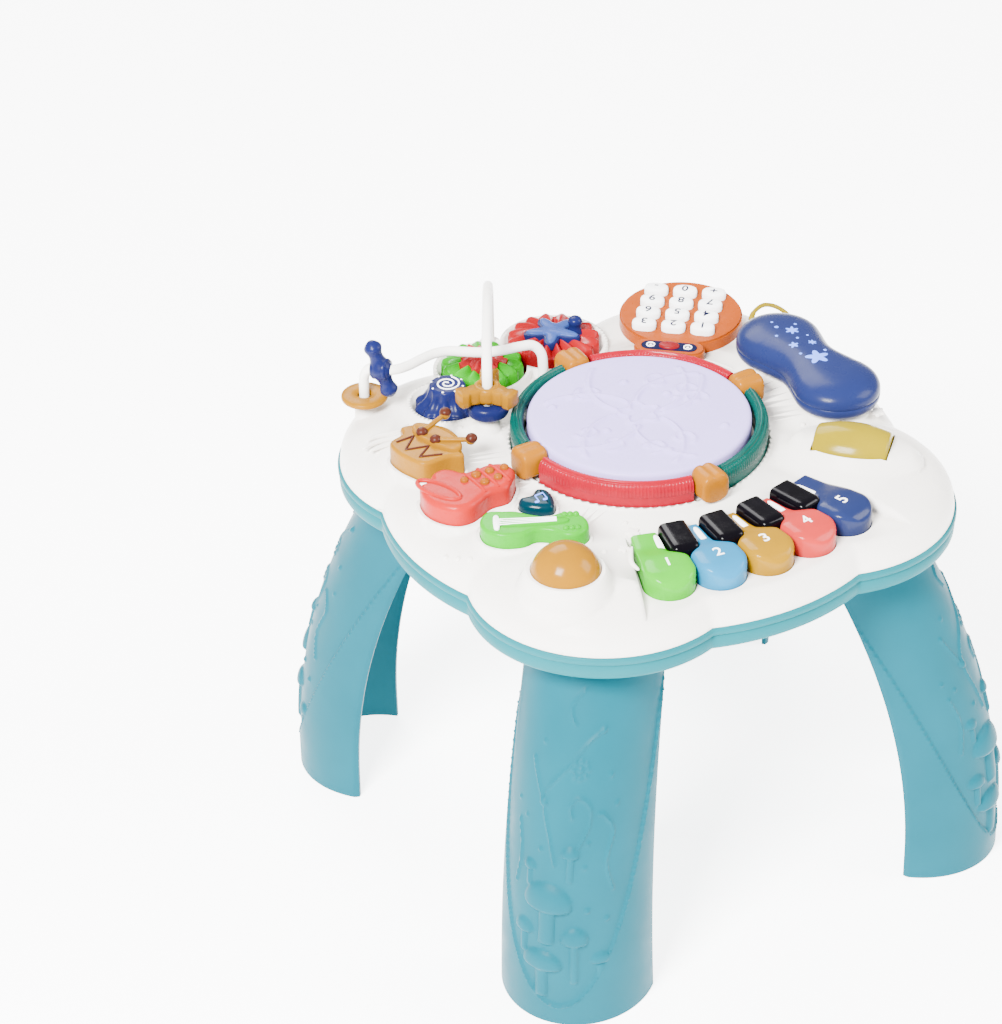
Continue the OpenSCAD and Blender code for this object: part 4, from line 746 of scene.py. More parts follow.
@dataclass
class Leg:
    """A channel-shaped leg that leans inwards, with raised mushrooms and tendrils on its outer face.

    Places on the outer face are (s, z): millimetres round it from its middle, and height above the floor.
    caps are (s, z, half width, half height, thickness), stems (s, low, high, half width, thickness), tendrils
    curves through (s, z), and buds (s, z, radius).
    """

    name: str
    direction: float
    reach: float = 244.5
    lean: float = 66.0
    foot_h: float = 20.0
    depth: float = 54.0
    half_w: float = 49.0
    taper: float = 5.0
    wall: float = 2.8
    half_way: float = 80.0
    web_z: float = 231.0
    caps: tuple[tuple[float, ...], ...] = (
        (-10, 90, 18, 15, 5.0), (-13, 45, 15, 11, 4.2), (10, 66, 9.5, 10, 3.8), (5, 126, 6.5, 6, 3.0),
        (-28, 67, 8, 7, 3.0), (28, 50, 7, 6, 2.6), (-25, 112, 5, 5, 2.2))
    stems: tuple[tuple[float, ...], ...] = (
        (-10, 62, 88, 6, 3.0), (-13, 20, 44, 4.6, 2.6), (10, 34, 64, 2.8, 2.2), (5, 108, 125, 2.6, 1.8),
        (-28, 50, 66, 2.6, 1.8), (28, 32, 48, 2.6, 1.6), (-25, 100, 111, 1.8, 1.4))
    tendrils: tuple[tuple[tuple[float, float], ...], ...] = (
        ((-6, 118), (-11, 136), (-16, 152), (-14, 166), (0, 182), (12, 196), (22, 203)),
        ((10, 131), (17, 146), (16, 158), (8, 163), (3, 157), (5, 150)),
        ((-17, 156), (-24, 170), (-28, 180)), ((2, 206), (-2, 216), (6, 226)),
        ((36, 100), (30, 120), (34, 140), (26, 152)), ((-38, 96), (-34, 118), (-38, 138)))
    buds: tuple[tuple[float, float, float], ...] = (
        (-17, 157, 3.2), (22, 203, 2.2), (-28, 180, 1.6), (-20, 192, 1.4), (-31, 143, 1.4), (24, 152, 1.6),
        (15, 118, 1.6), (18, 88, 2.0), (17, 134, 1.4), (-17, 126, 1.6), (30, 175, 1.6), (-4, 233, 1.4),
        (32, 80, 1.8), (-40, 150, 1.4), (36, 156, 1.4), (8, 180, 2.0))
    flower: tuple[float, float] = (8, 180)
    petal_at: float = 5.4

    def centre(self, z: np.ndarray) -> np.ndarray:
        """How far out the middle of the half ellipse lies at a height."""
        rise = np.maximum(z - self.foot_h, 0) / (TRAY_Z - self.foot_h)
        return self.reach - self.lean * rise**2 - self.depth

    def relief(self, s: np.ndarray, z: np.ndarray) -> np.ndarray:
        """Height of the raised work at s millimetres round the face and z above the floor.

        Args:
            s: distance round the outer face from its middle.
            z: height above the floor.
        Returns:
            Millimetres along the normal: domes h sqrt(1 - u^2 - v^2), ridges h exp(-(d/w)^2) and a raised
            foot.
        """
        h = np.zeros_like(s)
        foot = 13 + 0.031 * (s + 2) ** 2
        h += 1.5 / (1 + np.exp(np.clip((z - foot) / 0.5, -40, 40)))
        h = np.maximum(h, 2.1 * np.exp(-((z - foot - 0.6) / 1.3) ** 2) * (z > 8))
        for s0, z0, w, t, top in self.caps:
            v = np.where(z > z0, (z - z0) / t, (z - z0) / (t * 0.34))
            h = np.maximum(h, top * np.sqrt(np.maximum(1 - ((s - s0) / w) ** 2 - v**2, 0)))
        for s0, z0, z1, w, top in self.stems:
            inside = 1 / (1 + np.exp(np.clip((np.maximum(z0 - z, z - z1)) / 0.6, -40, 40)))
            h = np.maximum(h, top * inside * np.sqrt(np.maximum(1 - ((s - s0) / w) ** 2, 0)))
        for path in self.tendrils:
            d = near_path(s, z, spline(np.array(path, float), 6))
            h = np.maximum(h, 1.3 * np.exp(-((d / 0.9) ** 2)))
        for s0, z0, r in self.buds:
            h = np.maximum(h, 0.75 * r * dome_over(s, z, (s0, z0), r**2))
        for a in np.radians(np.arange(0, 360, 45)):
            s0 = self.flower[0] + self.petal_at * math.cos(a)
            z0 = self.flower[1] + self.petal_at * math.sin(a)
            h = np.maximum(h, 1.1 * dome_over(s, z, (s0, z0), 3.2))
        return h

    def build(self) -> None:
        """Makes the leg as a wall: out along the worked face and back along the plain one."""
        a = np.radians(np.linspace(-90, 90, 141))[None]
        z = np.linspace(0, TRAY_Z, 221)[:, None]
        c, w = self.centre(z), self.half_w - self.taper * z / TRAY_Z
        s = a / (np.pi / 2) * self.half_way
        raised = self.relief(s + 0 * z, z + 0 * s) * np.clip((math.pi / 2 - np.abs(a)) / 0.06, 0, 1)
        n = np.stack([np.cos(a) / self.depth + 0 * z, np.sin(a) / w, 0 * (a + z)], -1)
        n /= np.linalg.norm(n, axis=-1, keepdims=True)
        outer = np.stack([c + self.depth * np.cos(a), w * np.sin(a) + 0 * z, z + 0 * a], -1)
        outer += raised[..., None] * n
        d = self.depth - self.wall
        inner = np.stack([c + d * np.cos(a), (w - self.wall) * np.sin(a), z + 0 * a], -1)
        ring = np.concatenate([outer, inner[:, ::-1]], 1)
        skin = Skin().grid(turned(ring, self.direction))
        for row, flip in ((ring[0], False), (ring[-1], True)):
            half = len(row) // 2
            strip = np.stack([row[:half], row[half:][::-1]])
            skin.grid(turned(strip if flip else strip[::-1], self.direction), wrap_v=False)
        skin.build(self.name, LEG, "table", (self.name,), "leg_teal", 45)
        t = np.radians(np.linspace(-65, 65, 24))
        middle = float(self.centre(np.array(self.web_z)))
        shape = turned(np.column_stack([middle + 51.4 * np.cos(t), 41.9 * np.sin(t)]), self.direction)
        web = Skin().pad(shape, np.array([[self.web_z, 0.0], [self.web_z + 2.5, 0.0]]))
        web.build(self.name + "_web", LEG, "table", slot="leg_teal")


# ---------------------------------------------------------------- drum


@dataclass
class Drum:
    """Embossed drum head in a ring of ribbed light tubes that four saddles hold.

    arc_half is half the angle of a tube, and work_h the factor on the heights that emboss gives.
    """

    x: float = 1.0
    y: float = 8.0
    r: float = 73.0
    top: float = 307.0
    arc_half: float = 37.0
    work_h: float = 2.2
    rib_pitch: float = 1.55
    rib_h: float = 0.3
    saddle_in: float = 73.2
    saddle_long: float = 19.3

    def emboss(self, x: np.ndarray, y: np.ndarray) -> np.ndarray:
        """Raised work of the head: curved rays, scattered buds and an inner scroll.

        Args:
            x: distance from the head's middle along X.
            y: distance from the head's middle along Y.
        Returns:
            Ridges h exp(-(d/w)^2) along curves and small domes, in millimetres.
        """
        h = np.zeros_like(x)
        r, a = np.hypot(x, y), np.arctan2(y, x)
        for k in range(9):
            t = np.linspace(0, 1, 14)
            start = k * 40 + 12 * (k % 3)
            path = fan(start + 46 * (t - 0.3) * (-1) ** k) * (16 + 46 * t)[:, None]
            h = np.maximum(h, 0.75 * np.exp(-((near_path(x, y, path) / 1.5) ** 2)))
            curl = path[7] + fan(np.linspace(start, start + 300, 14)) * np.linspace(8.5, 3.5, 14)[:, None]
            h = np.maximum(h, 0.6 * np.exp(-((near_path(x, y, curl) / 1.2) ** 2)))
            b = fan(np.array([start + 21.0]))[0] * (30 + 9 * (k % 4))
            h = np.maximum(h, 0.9 * dome_over(x, y, (b[0], b[1]), 9))
        leaf = 0.7 * np.exp(-((r - 11 - 2.5 * np.cos(5 * a)) / 1.6) ** 2)
        return np.maximum(h, leaf) * np.clip((66 - r) / 4, 0, 1)

    def head(self) -> None:
        """The head: an embossed disc with a rounded edge, its skirt and the flange under the cover."""
        turns = fan(np.arange(240) * 1.5)
        r = np.concatenate([[0.01], np.linspace(0.9, 70.0, 78)])
        p = np.concatenate([r[:, None, None] * turns[None], np.full((len(r), 240, 1), self.top)], -1)
        p[..., 2] += self.work_h * self.emboss(p[..., 0], p[..., 1]) - 0.55
        side = np.array([[71.2, -0.7], [72.2, -1.3], [72.8, -2.3], [self.r, -3.5], [self.r, -21.6],
                         [75.4, -21.8], [75.5, -23.8], [70.6, -23.8], [70.5, -4.2], [0.01, -3.4]])
        both = np.concatenate([p, revolved(side + [0, self.top], turns)]) + np.array([self.x, self.y, 0])
        Skin().grid(both).build("drum_skin", SKIN, "drum", ("drum_head",), "drum_white", 42)

    def tubes(self, name: str, finish: Finish, node: str, slot: str, middles: tuple[float, ...]) -> None:
        """Two arcs of light tube: ribbed inner and outer bands with a smooth ridge between.

        The profile's rows are radius, height and how strongly the ribs show there.

        Args:
            name: the piece's name.
            finish: its surface.
            node: the solids that it stands for.
            slot: the record's material slot.
            middles: the direction of each arc's middle.
        """
        low, high = TABLE_H - 1, TABLE_H + 17.5
        prof = np.array([[75.6, low, 0], [75.5, high - 5.5, 0], [75.8, high - 3.2, 0.5],
                         [76.6, high - 1.4, 1], [77.5, high - 0.7, 1], [78.1, high - 0.9, 0.4],
                         [78.4, high - 0.4, 0], [79.0, high + 0.35, 0], [79.8, high + 0.5, 0],
                         [80.5, high + 0.2, 0], [80.9, high - 0.7, 0], [81.1, high - 1.2, 0.4],
                         [82.0, high - 1.5, 1], [83.0, high - 2.7, 1], [83.8, high - 4.6, 1],
                         [84.1, high - 7.0, 1], [84.1, high - 9.5, 0.6], [83.9, high - 10.5, 0],
                         [84.0, low, 0]])
        dense = spline(prof, 3)
        skin = Skin()
        for m in middles:
            t = np.linspace(m - self.arc_half, m + self.arc_half, 432)
            rib = np.maximum(np.cos(np.radians((t - m) * 360 / self.rib_pitch)), -0.2)
            out = dense[None, :, :2] - np.array([79.8, high - 5])
            out /= np.linalg.norm(out, axis=-1, keepdims=True)
            rz = dense[None, :, :2] + self.rib_h * dense[None, :, 2:] * rib[:, None, None] * out
            p = np.concatenate([rz[..., :1] * fan(t)[:, None], rz[..., 1:]], -1)
            skin.grid(p + np.array([self.x, self.y, 0]), cap_low=True, cap_high=True)
        skin.build(name, finish, "table", (node,), slot, 60)

    def saddles(self) -> None:
        """Four orange saddles: a rounded block across the tube with a groove along its crown."""
        skin = Skin()
        u = np.linspace(0, 1, 40)[:, None]
        v = np.radians(np.linspace(0, 360, 72, endpoint=False))[None]
        c, s = np.cos(v), np.sin(v)
        shrink = (1 - np.abs(2 * u - 1) ** 7) ** (1 / 2.6)
        width = 10.0 * (0.62 + 0.38 * shrink) * (0.84 + 0.16 * np.sin(np.pi / 2 * np.clip(u * 1.5, 0, 1)))
        top = 9.0 * (0.45 + 0.55 * shrink)
        y = width * bulged(c, 2 / 3.2)
        z = np.where(s > 0, top * bulged(s, 2 / 2.6), 10.0 * bulged(s, 2 / 6))
        z -= 1.3 * np.exp(-((y / 1.5) ** 2)) * (s > 0) * np.clip(shrink * 1.2, 0, 1)
        p = np.stack([self.saddle_in + self.saddle_long * u + 0 * v, y, TABLE_H + 12.2 + z], -1)
        for k in range(4):
            skin.grid(turned(p, 90 * k, (self.x, self.y)), cap_low=True, cap_high=True)
        skin.build("saddles", CLIP, "table", ("ring_clips",), "clip_orange", 60)

    def build(self) -> None:
        """Makes the head, the tubes and the saddles."""
        self.head()
        self.tubes("tubes_red", TUBE_RED, "red_light_arcs", "tube_red", (45, 225))
        self.tubes("tubes_green", TUBE_GREEN, "green_light_arcs", "tube_green", (135, 315))
        self.saddles()


# ---------------------------------------------------------------- piano


@dataclass(frozen=True)
class KeyLook:
    """One coloured key: its solid, its body (and slot), its colour and its place in the fan."""

    node: str
    body: str
    rgb: tuple[int, int, int]
    place: int


@dataclass
class Piano:
    """A fan of five coloured keys with swelling round fronts and four black keys.

    The keys point away from (0, fan_y), pitch degrees apart. back, lobe_at and numeral_at are distances from
    there.
    """

    fan_y: float = 82.4
    pitch: float = 8.55
    back: float = 183.0
    lobe_at: float = 225.7
    lobe_r: float = 16.6
    top: float = 290.0
    foot: float = 273.5
    numeral_at: float = 222.5
    black_long: float = 29.3
    black_half: float = 9.4
    black_low: float = 279.3
    black_from: float = 282.0

    def half_width(self, r: np.ndarray, cut: bool) -> np.ndarray:
        """Half the width of a key at r from the fan point on one side.

        Args:
            r: distances from the fan point.
            cut: whether a black key takes a notch out of that side.
        Returns:
            The wedge r tan(p/2), the round front sqrt(R^2 - (r - c)^2), and the notch eased in by a
            smooth step.
        """
        wedge = r * math.tan(math.radians(self.pitch / 2)) - 0.4
        front = np.sqrt(np.maximum(self.lobe_r**2 - (r - self.lobe_at) ** 2, 0))
        w = np.where(r > self.lobe_at, np.minimum(front, wedge), wedge)
        if cut:
            notch = r * math.sin(math.radians(self.pitch / 2)) - 10.1
            t = np.clip((r - 205) / 11, 0, 1)
            w = notch + (w - notch) * (t * t * (3 - 2 * t))
        return w

    def key(self, look: KeyLook) -> None:
        """One key as a run of closed sections from back to front.

        Args:
            look: which key it is.
        """
        front = self.lobe_at + self.lobe_r - 0.02
        bend = np.sin(np.linspace(0, np.pi / 2, 46))
        r = np.concatenate([np.linspace(self.back + 0.2, 204, 22), np.linspace(204.6, 218, 26),
                            218.5 + (front - 218.5) * bend])
        lo, hi = self.half_width(r, look.place > -2), self.half_width(r, look.place < 2)
        t = np.radians(np.linspace(0, 180, 44))
        across = bulged(np.cos(t), 2 / 5.5)
        crown = np.sin(t) ** (2 / 4.0)
        mid, half = (hi - lo) / 2, (hi + lo) / 2
        swell = np.clip((r - 196) / 24, 0, 1)
        nose = np.sqrt(np.clip(1 - np.clip((r - 226) / (front - 226), 0, 1) ** 2.6, 0, 1))
        lift = (0.9 + 4.2 * swell * swell * (3 - 2 * swell)) * nose
        base = self.top - 2.6 - 5.5 * (1 - nose) * swell
        y = mid[:, None] - half[:, None] * across[None]
        z = base[:, None] + (2.2 + lift[:, None]) * crown[None]
        upper = np.stack([r[:, None] + 0 * y, y, z], -1)
        feet = [np.stack([r, y[:, side], np.full_like(r, self.foot)], -1)[:, None] for side in (-1, 0)]
        ring = np.concatenate([upper, *feet], 1)
        angle = self.pitch * look.place
        finish = Finish("key_" + look.body, look.rgb, Gloss.WET, 0.05, 16)
        skin = Skin().grid(turned(ring, angle - 90, (0, self.fan_y)), cap_low=True, cap_high=True)
        skin.build(look.body + "_top", finish, look.body, (look.node,), look.body, 48)
        mark = np.array([[189, -1.6], [208, -1.6], [208, 1.6], [189, 1.6]])
        shift = 0.0 if abs(look.place) < 2 else 1.5 * np.sign(-look.place)
        outline = spline(mark + np.array([0, shift]), 8, True)
        z0 = self.top - 0.4
        steps = np.array([[z0, 0], [z0 + 1.25, 0], [z0 + 1.4, 0.25]])
        slab = Skin().pad(turned(outline, angle - 90, (0, self.fan_y)), steps)
        slab.build(look.body + "_mark", WHITE_INK, look.body)
        spot = turned(np.array([[self.numeral_at, 0.0]]), angle - 90, (0, self.fan_y))[0]
        at = (spot[0], spot[1], self.top + 4.72)
        numeral(str(look.place + 3), look.body + "_numeral", WHITE_INK, look.body, at, angle, 12.0)

    def black_keys(self) -> None:
        """Four black keys: boxes with rounded tops and fronts."""
        skin = Skin()
        u = np.linspace(0, 1, 34)[:, None]
        v = np.radians(np.linspace(0, 180, 40))[None]
        shrink = (1 - np.clip((u - 0.72) / 0.28, 0, 1) ** 3.4) ** (1 / 2.4)
        x = self.back + self.black_long * u
        y = self.black_half * (0.5 + 0.5 * shrink) * bulged(np.cos(v), 2 / 6)
        z = self.black_from + (14.1 + 5.0 * (shrink - 1)) * np.sin(v) ** (2 / 7)
        feet = [np.concatenate([x, y[:, [side]], 0 * u + self.black_low], 1)[:, None] for side in (-1, 0)]
        ring = np.concatenate([np.stack([x + 0 * v, y, z], -1), *feet], 1)
        for a in (-1.5, -0.5, 0.5, 1.5):
            skin.grid(turned(ring, a * self.pitch - 90, (0, self.fan_y)), cap_low=True, cap_high=True)
        skin.build("black_key_tops", BLACK, "table", ("black_keys",), "key_black", 55)

    def build(self) -> None:
        """Makes every key."""
        for look in (KeyLook("green_key", "key_green", (45, 149, 4), -2),
                     KeyLook("light_blue_key", "key_light_blue", (16, 102, 140), -1),
                     KeyLook("orange_key", "key_orange", (130, 94, 1), 0),
                     KeyLook("pink_key", "key_pink", (158, 40, 38), 1),
                     KeyLook("indigo_key", "key_indigo", (26, 34, 68), 2)):
            self.key(look)
        self.black_keys()


# ---------------------------------------------------------------- gears


@dataclass
class GearTrain:
    """Three meshing toy gears: a ribbed red one, a ruffled green one and a bell-shaped blue one.

    A gear's pitch radius is module times its teeth, wave is the swing of its rim, and green_dir and blue_dir
    are the directions from one gear's centre to the next.
    """

    module: float = 1.9067
    wave: float = 1.3
    gap: float = 0.4
    red: tuple[float, float] = (11.8, 133.7)
    green_dir: float = 182.3
    blue_dir: float = 211.1
    low: float = 280.3
    cap: float = 298.0
    bore: float = 4.05
    red_teeth: int = 16
    green_teeth: int = 14
    blue_teeth: int = 11

    def places(self) -> dict[str, tuple[tuple[float, float], int, float]]:
        """Places each gear from the directions between the centres, so that tooth meets gap.

        Returns:
            Centre, teeth and phase in degrees, by the gear's colour.
        """
        n_r, n_g, n_b = self.red_teeth, self.green_teeth, self.blue_teeth
        g = np.array(self.red) + (n_r + n_g) * self.module * fan(np.array(self.green_dir))
        b = g + (n_g + n_b) * self.module * fan(np.array(self.blue_dir))
        green = self.green_dir + 180 - 180 / n_g
        blue = self.blue_dir + 180 - (180 - n_g * (self.blue_dir - green)) / n_b
        return {"red": (self.red, n_r, self.green_dir), "green": (tuple(g), n_g, green),
                "blue": (tuple(b), n_b, blue)}

    def wheel(self, at: tuple[float, float], teeth: int, phase: float, ridge: float, twist: float) -> Skin:
        """A wheel whose top carries one swirling ridge a tooth.

        Args:
            at: its centre.
            teeth: how many teeth it has.
            phase: the direction of one tooth.
            ridge: height of the ridges.
            twist: how far a ridge turns from rim to bore, in degrees.
        Returns:
            A skin: top from bore to rim, down the wavy side and back under to the bore.
        """
        t = np.arange(teeth * 24) * 360 / (teeth * 24)
        tooth = np.cos(np.radians(teeth * (t - phase)))
        rim = self.module * teeth - self.gap / 2 + self.wave * tooth
        f = np.linspace(0, 1, 26)[:, None]
        r = self.bore + (rim[None] - 0.9 - self.bore) * f
        swirl = np.cos(np.radians(teeth * (t[None] - phase) + twist * (1 - f) * teeth / 10))
        reach = np.sin(np.pi * np.clip(f * 0.93 + 0.05, 0, 1)) ** 0.5
        z = self.cap - 2.4 + ridge * (0.5 + 0.5 * swirl) ** 0.7 * reach
        rows = [np.stack([r, z], -1)]
        sides = (0.35, self.cap - 3.4), (0.05, self.cap - 4.2), (0.0, self.low + 0.6), (0.6, self.low)
        for out, h in sides:
            rows.append(np.stack([rim[None] - out, np.full((1, len(t)), h)], -1))
        rows.append(np.stack([np.full((1, len(t)), self.bore), np.full((1, len(t)), self.low)], -1))
        rz = np.concatenate(rows)
        p = np.concatenate([rz[..., :1] * fan(t)[None], rz[..., 1:]], -1)
        return Skin().grid(p + np.array([at[0], at[1], 0]), wrap_u=True)

    def splash(self, grow: float, low: float, high: float, edge: float) -> Skin:
        """A splash of five round arms round the red gear's middle.

        Args:
            grow: how much wider than its plain size.
            low: height of its underside.
            high: height of its top.
            edge: width of its rounded edge.
        Returns:
            A skin over the outline r = 8.2 + 9.5 (0.5 + 0.5 cos 5a) ** 1.5, a little uneven.
        """
        a = np.arange(0, 360, 2.0)
        arms = (0.5 + 0.5 * np.cos(np.radians(5 * (a - 15)))) ** 1.5
        r = 8.2 + 9.5 * arms * (1 + 0.12 * np.cos(np.radians(a * 2 + 40)))
        shape = grown(turned(fan(a) * r[:, None], 0, self.red), grow)
        steps = np.array([[low, 0], [high - edge, 0], [high - edge * 0.3, edge * 0.3], [high, edge]])
        return Skin().pad(shape, steps)

    def build(self) -> None:
        """Makes the three gears and what is on them."""
        spots = self.places()
        red = self.wheel(*spots["red"], 5.0, 60)
        red.build("red_wheel", GEAR_RED, "red_gear_body", ("red_gear",), "gear_red", 50)
        edge = self.splash(1.6, self.cap - 1, self.cap + 3.6, 0.8)
        edge.build("splash_edge", NAVY, "red_gear_body", slot="gear_blue")
        cap = self.splash(0, self.cap, self.cap + 5.2, 1.4)
        cap.build("splash", SPLASH, "red_gear_body", ("red_gear_cap",), "cap_light_blue", 50)
        knob = np.array([[0.01, 12.2], [2.6, 12.0], [4.3, 10.8], [5.0, 9.0], [4.6, 7.2], [3.9, 5.6],
                         [4.2, 3.0], [5.2, 1.0], [5.2, -1], [0.01, -1]])
        peg = turned(np.array([[15.0, 0]]), -18, self.red)[0]
        pin = Skin().lathe(knob, (peg[0], peg[1], self.cap), 48)
        pin.build("splash_peg", NAVY, "red_gear_body", slot="gear_blue")
        green = self.wheel(*spots["green"], 4.6, -40)
        green.build("green_wheel", GEAR_GREEN, "green_gear_body", ("green_gear",), "gear_green", 50)
        self.flower(spots["green"][0])
        self.bell(*spots["blue"])

    def flower(self, at: tuple[float, float]) -> None:
        """The ruffled flower on the green gear: r = 15.6 + 2.2 cos 8t, with a wavy crown and a bud.

        Args:
            at: its centre.
        """
        t = np.arange(0, 360, 2.0)
        f = np.linspace(0.02, 1, 22)[:, None]
        petal = np.cos(np.radians(8 * t))[None]
        r = (15.6 + 2.2 * petal) * f
        ruffle = 1.4 * f * np.cos(np.radians(16 * t))[None]
        z = self.cap + 1.8 + 2.4 * np.exp(-((f - 0.55) / 0.3) ** 2) + ruffle + 0 * r
        under = 0 * r[-1:] + self.cap - 1.2
        rows = np.concatenate([np.stack([r, z], -1), np.stack([r[-1:] - 0.6, under], -1),
                               np.stack([0.02 * r[-1:], under], -1)])
        p = np.concatenate([rows[..., :1] * fan(t)[None], rows[..., 1:]], -1) + np.array([at[0], at[1], 0])
        flower = Skin().grid(p, cap_low=True, cap_high=True)
        flower.ball((at[0], at[1], self.cap + 1.6), (4.2, 4.2, 3.0), 14)
        flower.build("ruffled_flower", FLOWER, "green_gear_body", ("green_gear_flower",), "flower_pink", 50)

    def bell(self, at: tuple[float, float], teeth: int, phase: float) -> None:
        """The blue gear: a bell with a fluted skirt, a flat crown, a spiral and dots.

        Args:
            at: its centre.
            teeth: how many flutes it has.
            phase: the direction of one flute.
        """
        t = np.arange(teeth * 24) * 360 / (teeth * 24)
        tooth = np.cos(np.radians(teeth * (t - phase)))
        rim = self.module * teeth - self.gap / 2
        prof = spline(np.array([[0.01, 306.0, 0], [9, 305.9, 0], [11.4, 305.3, 0], [12.2, 303.8, 0.15],
                                [12.8, 301.0, 0.4], [14.0, 297.6, 0.7], [16.6, 294.4, 0.9], [19.4, 292.4, 1],
                                [rim - 0.5, 291.0, 1], [rim, 289.6, 1], [rim, self.low + 0.6, 1],
                                [rim - 0.6, self.low, 1], [self.bore, self.low, 0]]), 3)
        r = prof[:, None, 0] + self.wave * prof[:, None, 2] * tooth[None]
        p = np.concatenate([r[..., None] * fan(t)[None], np.repeat(prof[:, None, 1:2], len(t), 1)], -1)
        bell = Skin().grid(p + np.array([at[0], at[1], 0]), cap_high=True)
        bell.build("blue_bell", NAVY, "blue_gear_body", ("blue_gear",), "gear_blue", 50)
        a = np.linspace(0, 760, 90)
        spiral = fan(a) * np.linspace(1.0, 8.6, 90)[:, None] + np.array(at)
        path = np.column_stack([spiral, np.full(90, 305.95)])
        marks = Skin().tube(path, 0.55, (0, 0, 1), 8)
        for k in np.arange(0, 360, 45):
            d = fan(np.array(k)) * 10.7 + np.array(at)
            marks.ball((d[0], d[1], 305.6), (0.8, 0.8, 0.4), 8)
        marks.build("bell_marks", WHITE_INK, "blue_gear_body")


# ---------------------------------------------------------------- dial


@dataclass
class Dial:
    """Coral dial with twelve oval buttons and a tab with a blue window.

    column and row are the buttons' spacings, oval a button's half axes, and tab the tab's place from the
    dial's middle.
    """

    x: float = 101.8
    y: float = 114.6
    turn: float = 139.0
    top: float = 297.0
    column: float = 20.0
    row: float = 15.6
    oval: tuple[float, float] = (8.25, 5.75)
    tab: tuple[float, float] = (-30.7, -33.2)
    labels: tuple[str, ...] = ("1", "2", "3", "4", "5", "6", "7", "8", "9", "+", "0", "-")

    def spot(self, i: int) -> np.ndarray:
        """Places a button, three to a row.

        Args:
            i: its number, from 0.

        Returns:
            Its centre (x, y).
        """
        across, down = fan(np.array(self.turn)), fan(np.array(self.turn - 91.7))
        first = np.array([self.x - 1.0, self.y - 28.7])
        return first + (i % 3) * self.column * across + (i // 3) * self.row * down

    def button(self, i: int) -> None:
        """One oval button with a soft crown and its numeral.

        Args:
            i: which button, from 0.
        """
        a = np.arange(0, 360, 5.0)
        spot = self.spot(i)
        shape = turned(bulged(fan(a), 0.86) * np.array(self.oval), self.turn, tuple(spot))
        z = self.top
        steps = np.array([[z - 4.3, -1.2], [z - 2.9, -1.2], [z - 2.8, 0], [z + 2.7, 0], [z + 3.7, 0.25],
                          [z + 4.4, 0.8], [z + 4.85, 1.7], [z + 5.0, 2.8]])
        body = f"digit_{i + 1}"
        cap = Skin().pad(shape, steps)
        cap.build(f"button_{i + 1}", BUTTON, body, (f"dial_button_{i + 1}",), "button_white", 50)
        at = (spot[0], spot[1], z + 5.0)
        numeral(self.labels[i], f"button_{i + 1}_numeral", INK, body, at, self.turn, 9.5)

    def build(self) -> None:
        """Makes the dial, its tab, its window and its buttons."""
        rounded("dial_plate", "dial", CORAL, "table", 1.1)
        tab = np.array([self.x, self.y]) + self.tab
        as_it_is("dial_window", WINDOW)
        z = self.top + 0.15
        middle = turned(fan(np.arange(0, 360, 6.0)) * np.array([7.0, 4.6]), self.turn, tuple(tab))
        steps = np.array([[z, 0], [z + 0.9, 0.1], [z + 1.5, 0.7], [z + 1.7, 1.6]])
        Skin().pad(middle, steps).build("tab_middle", RED_DOT, "table")
        rings = Skin()
        for s in (-1, 1):
            at = turned(np.array([[s * 12.6, 0]]), self.turn, tuple(tab))[0]
            loop = np.column_stack([fan(np.arange(0, 361, 12.0)) * 2.6 + at, np.full(31, z + 0.15)])
            rings.tube(loop, 0.45, (0, 0, 1), 8).ball((at[0], at[1], z), (1.0, 1.0, 0.4), 8)
        rings.build("tab_rings", WHITE_INK, "table")
        for i in range(len(self.labels)):
            self.button(i)


# ---------------------------------------------------------------- handset


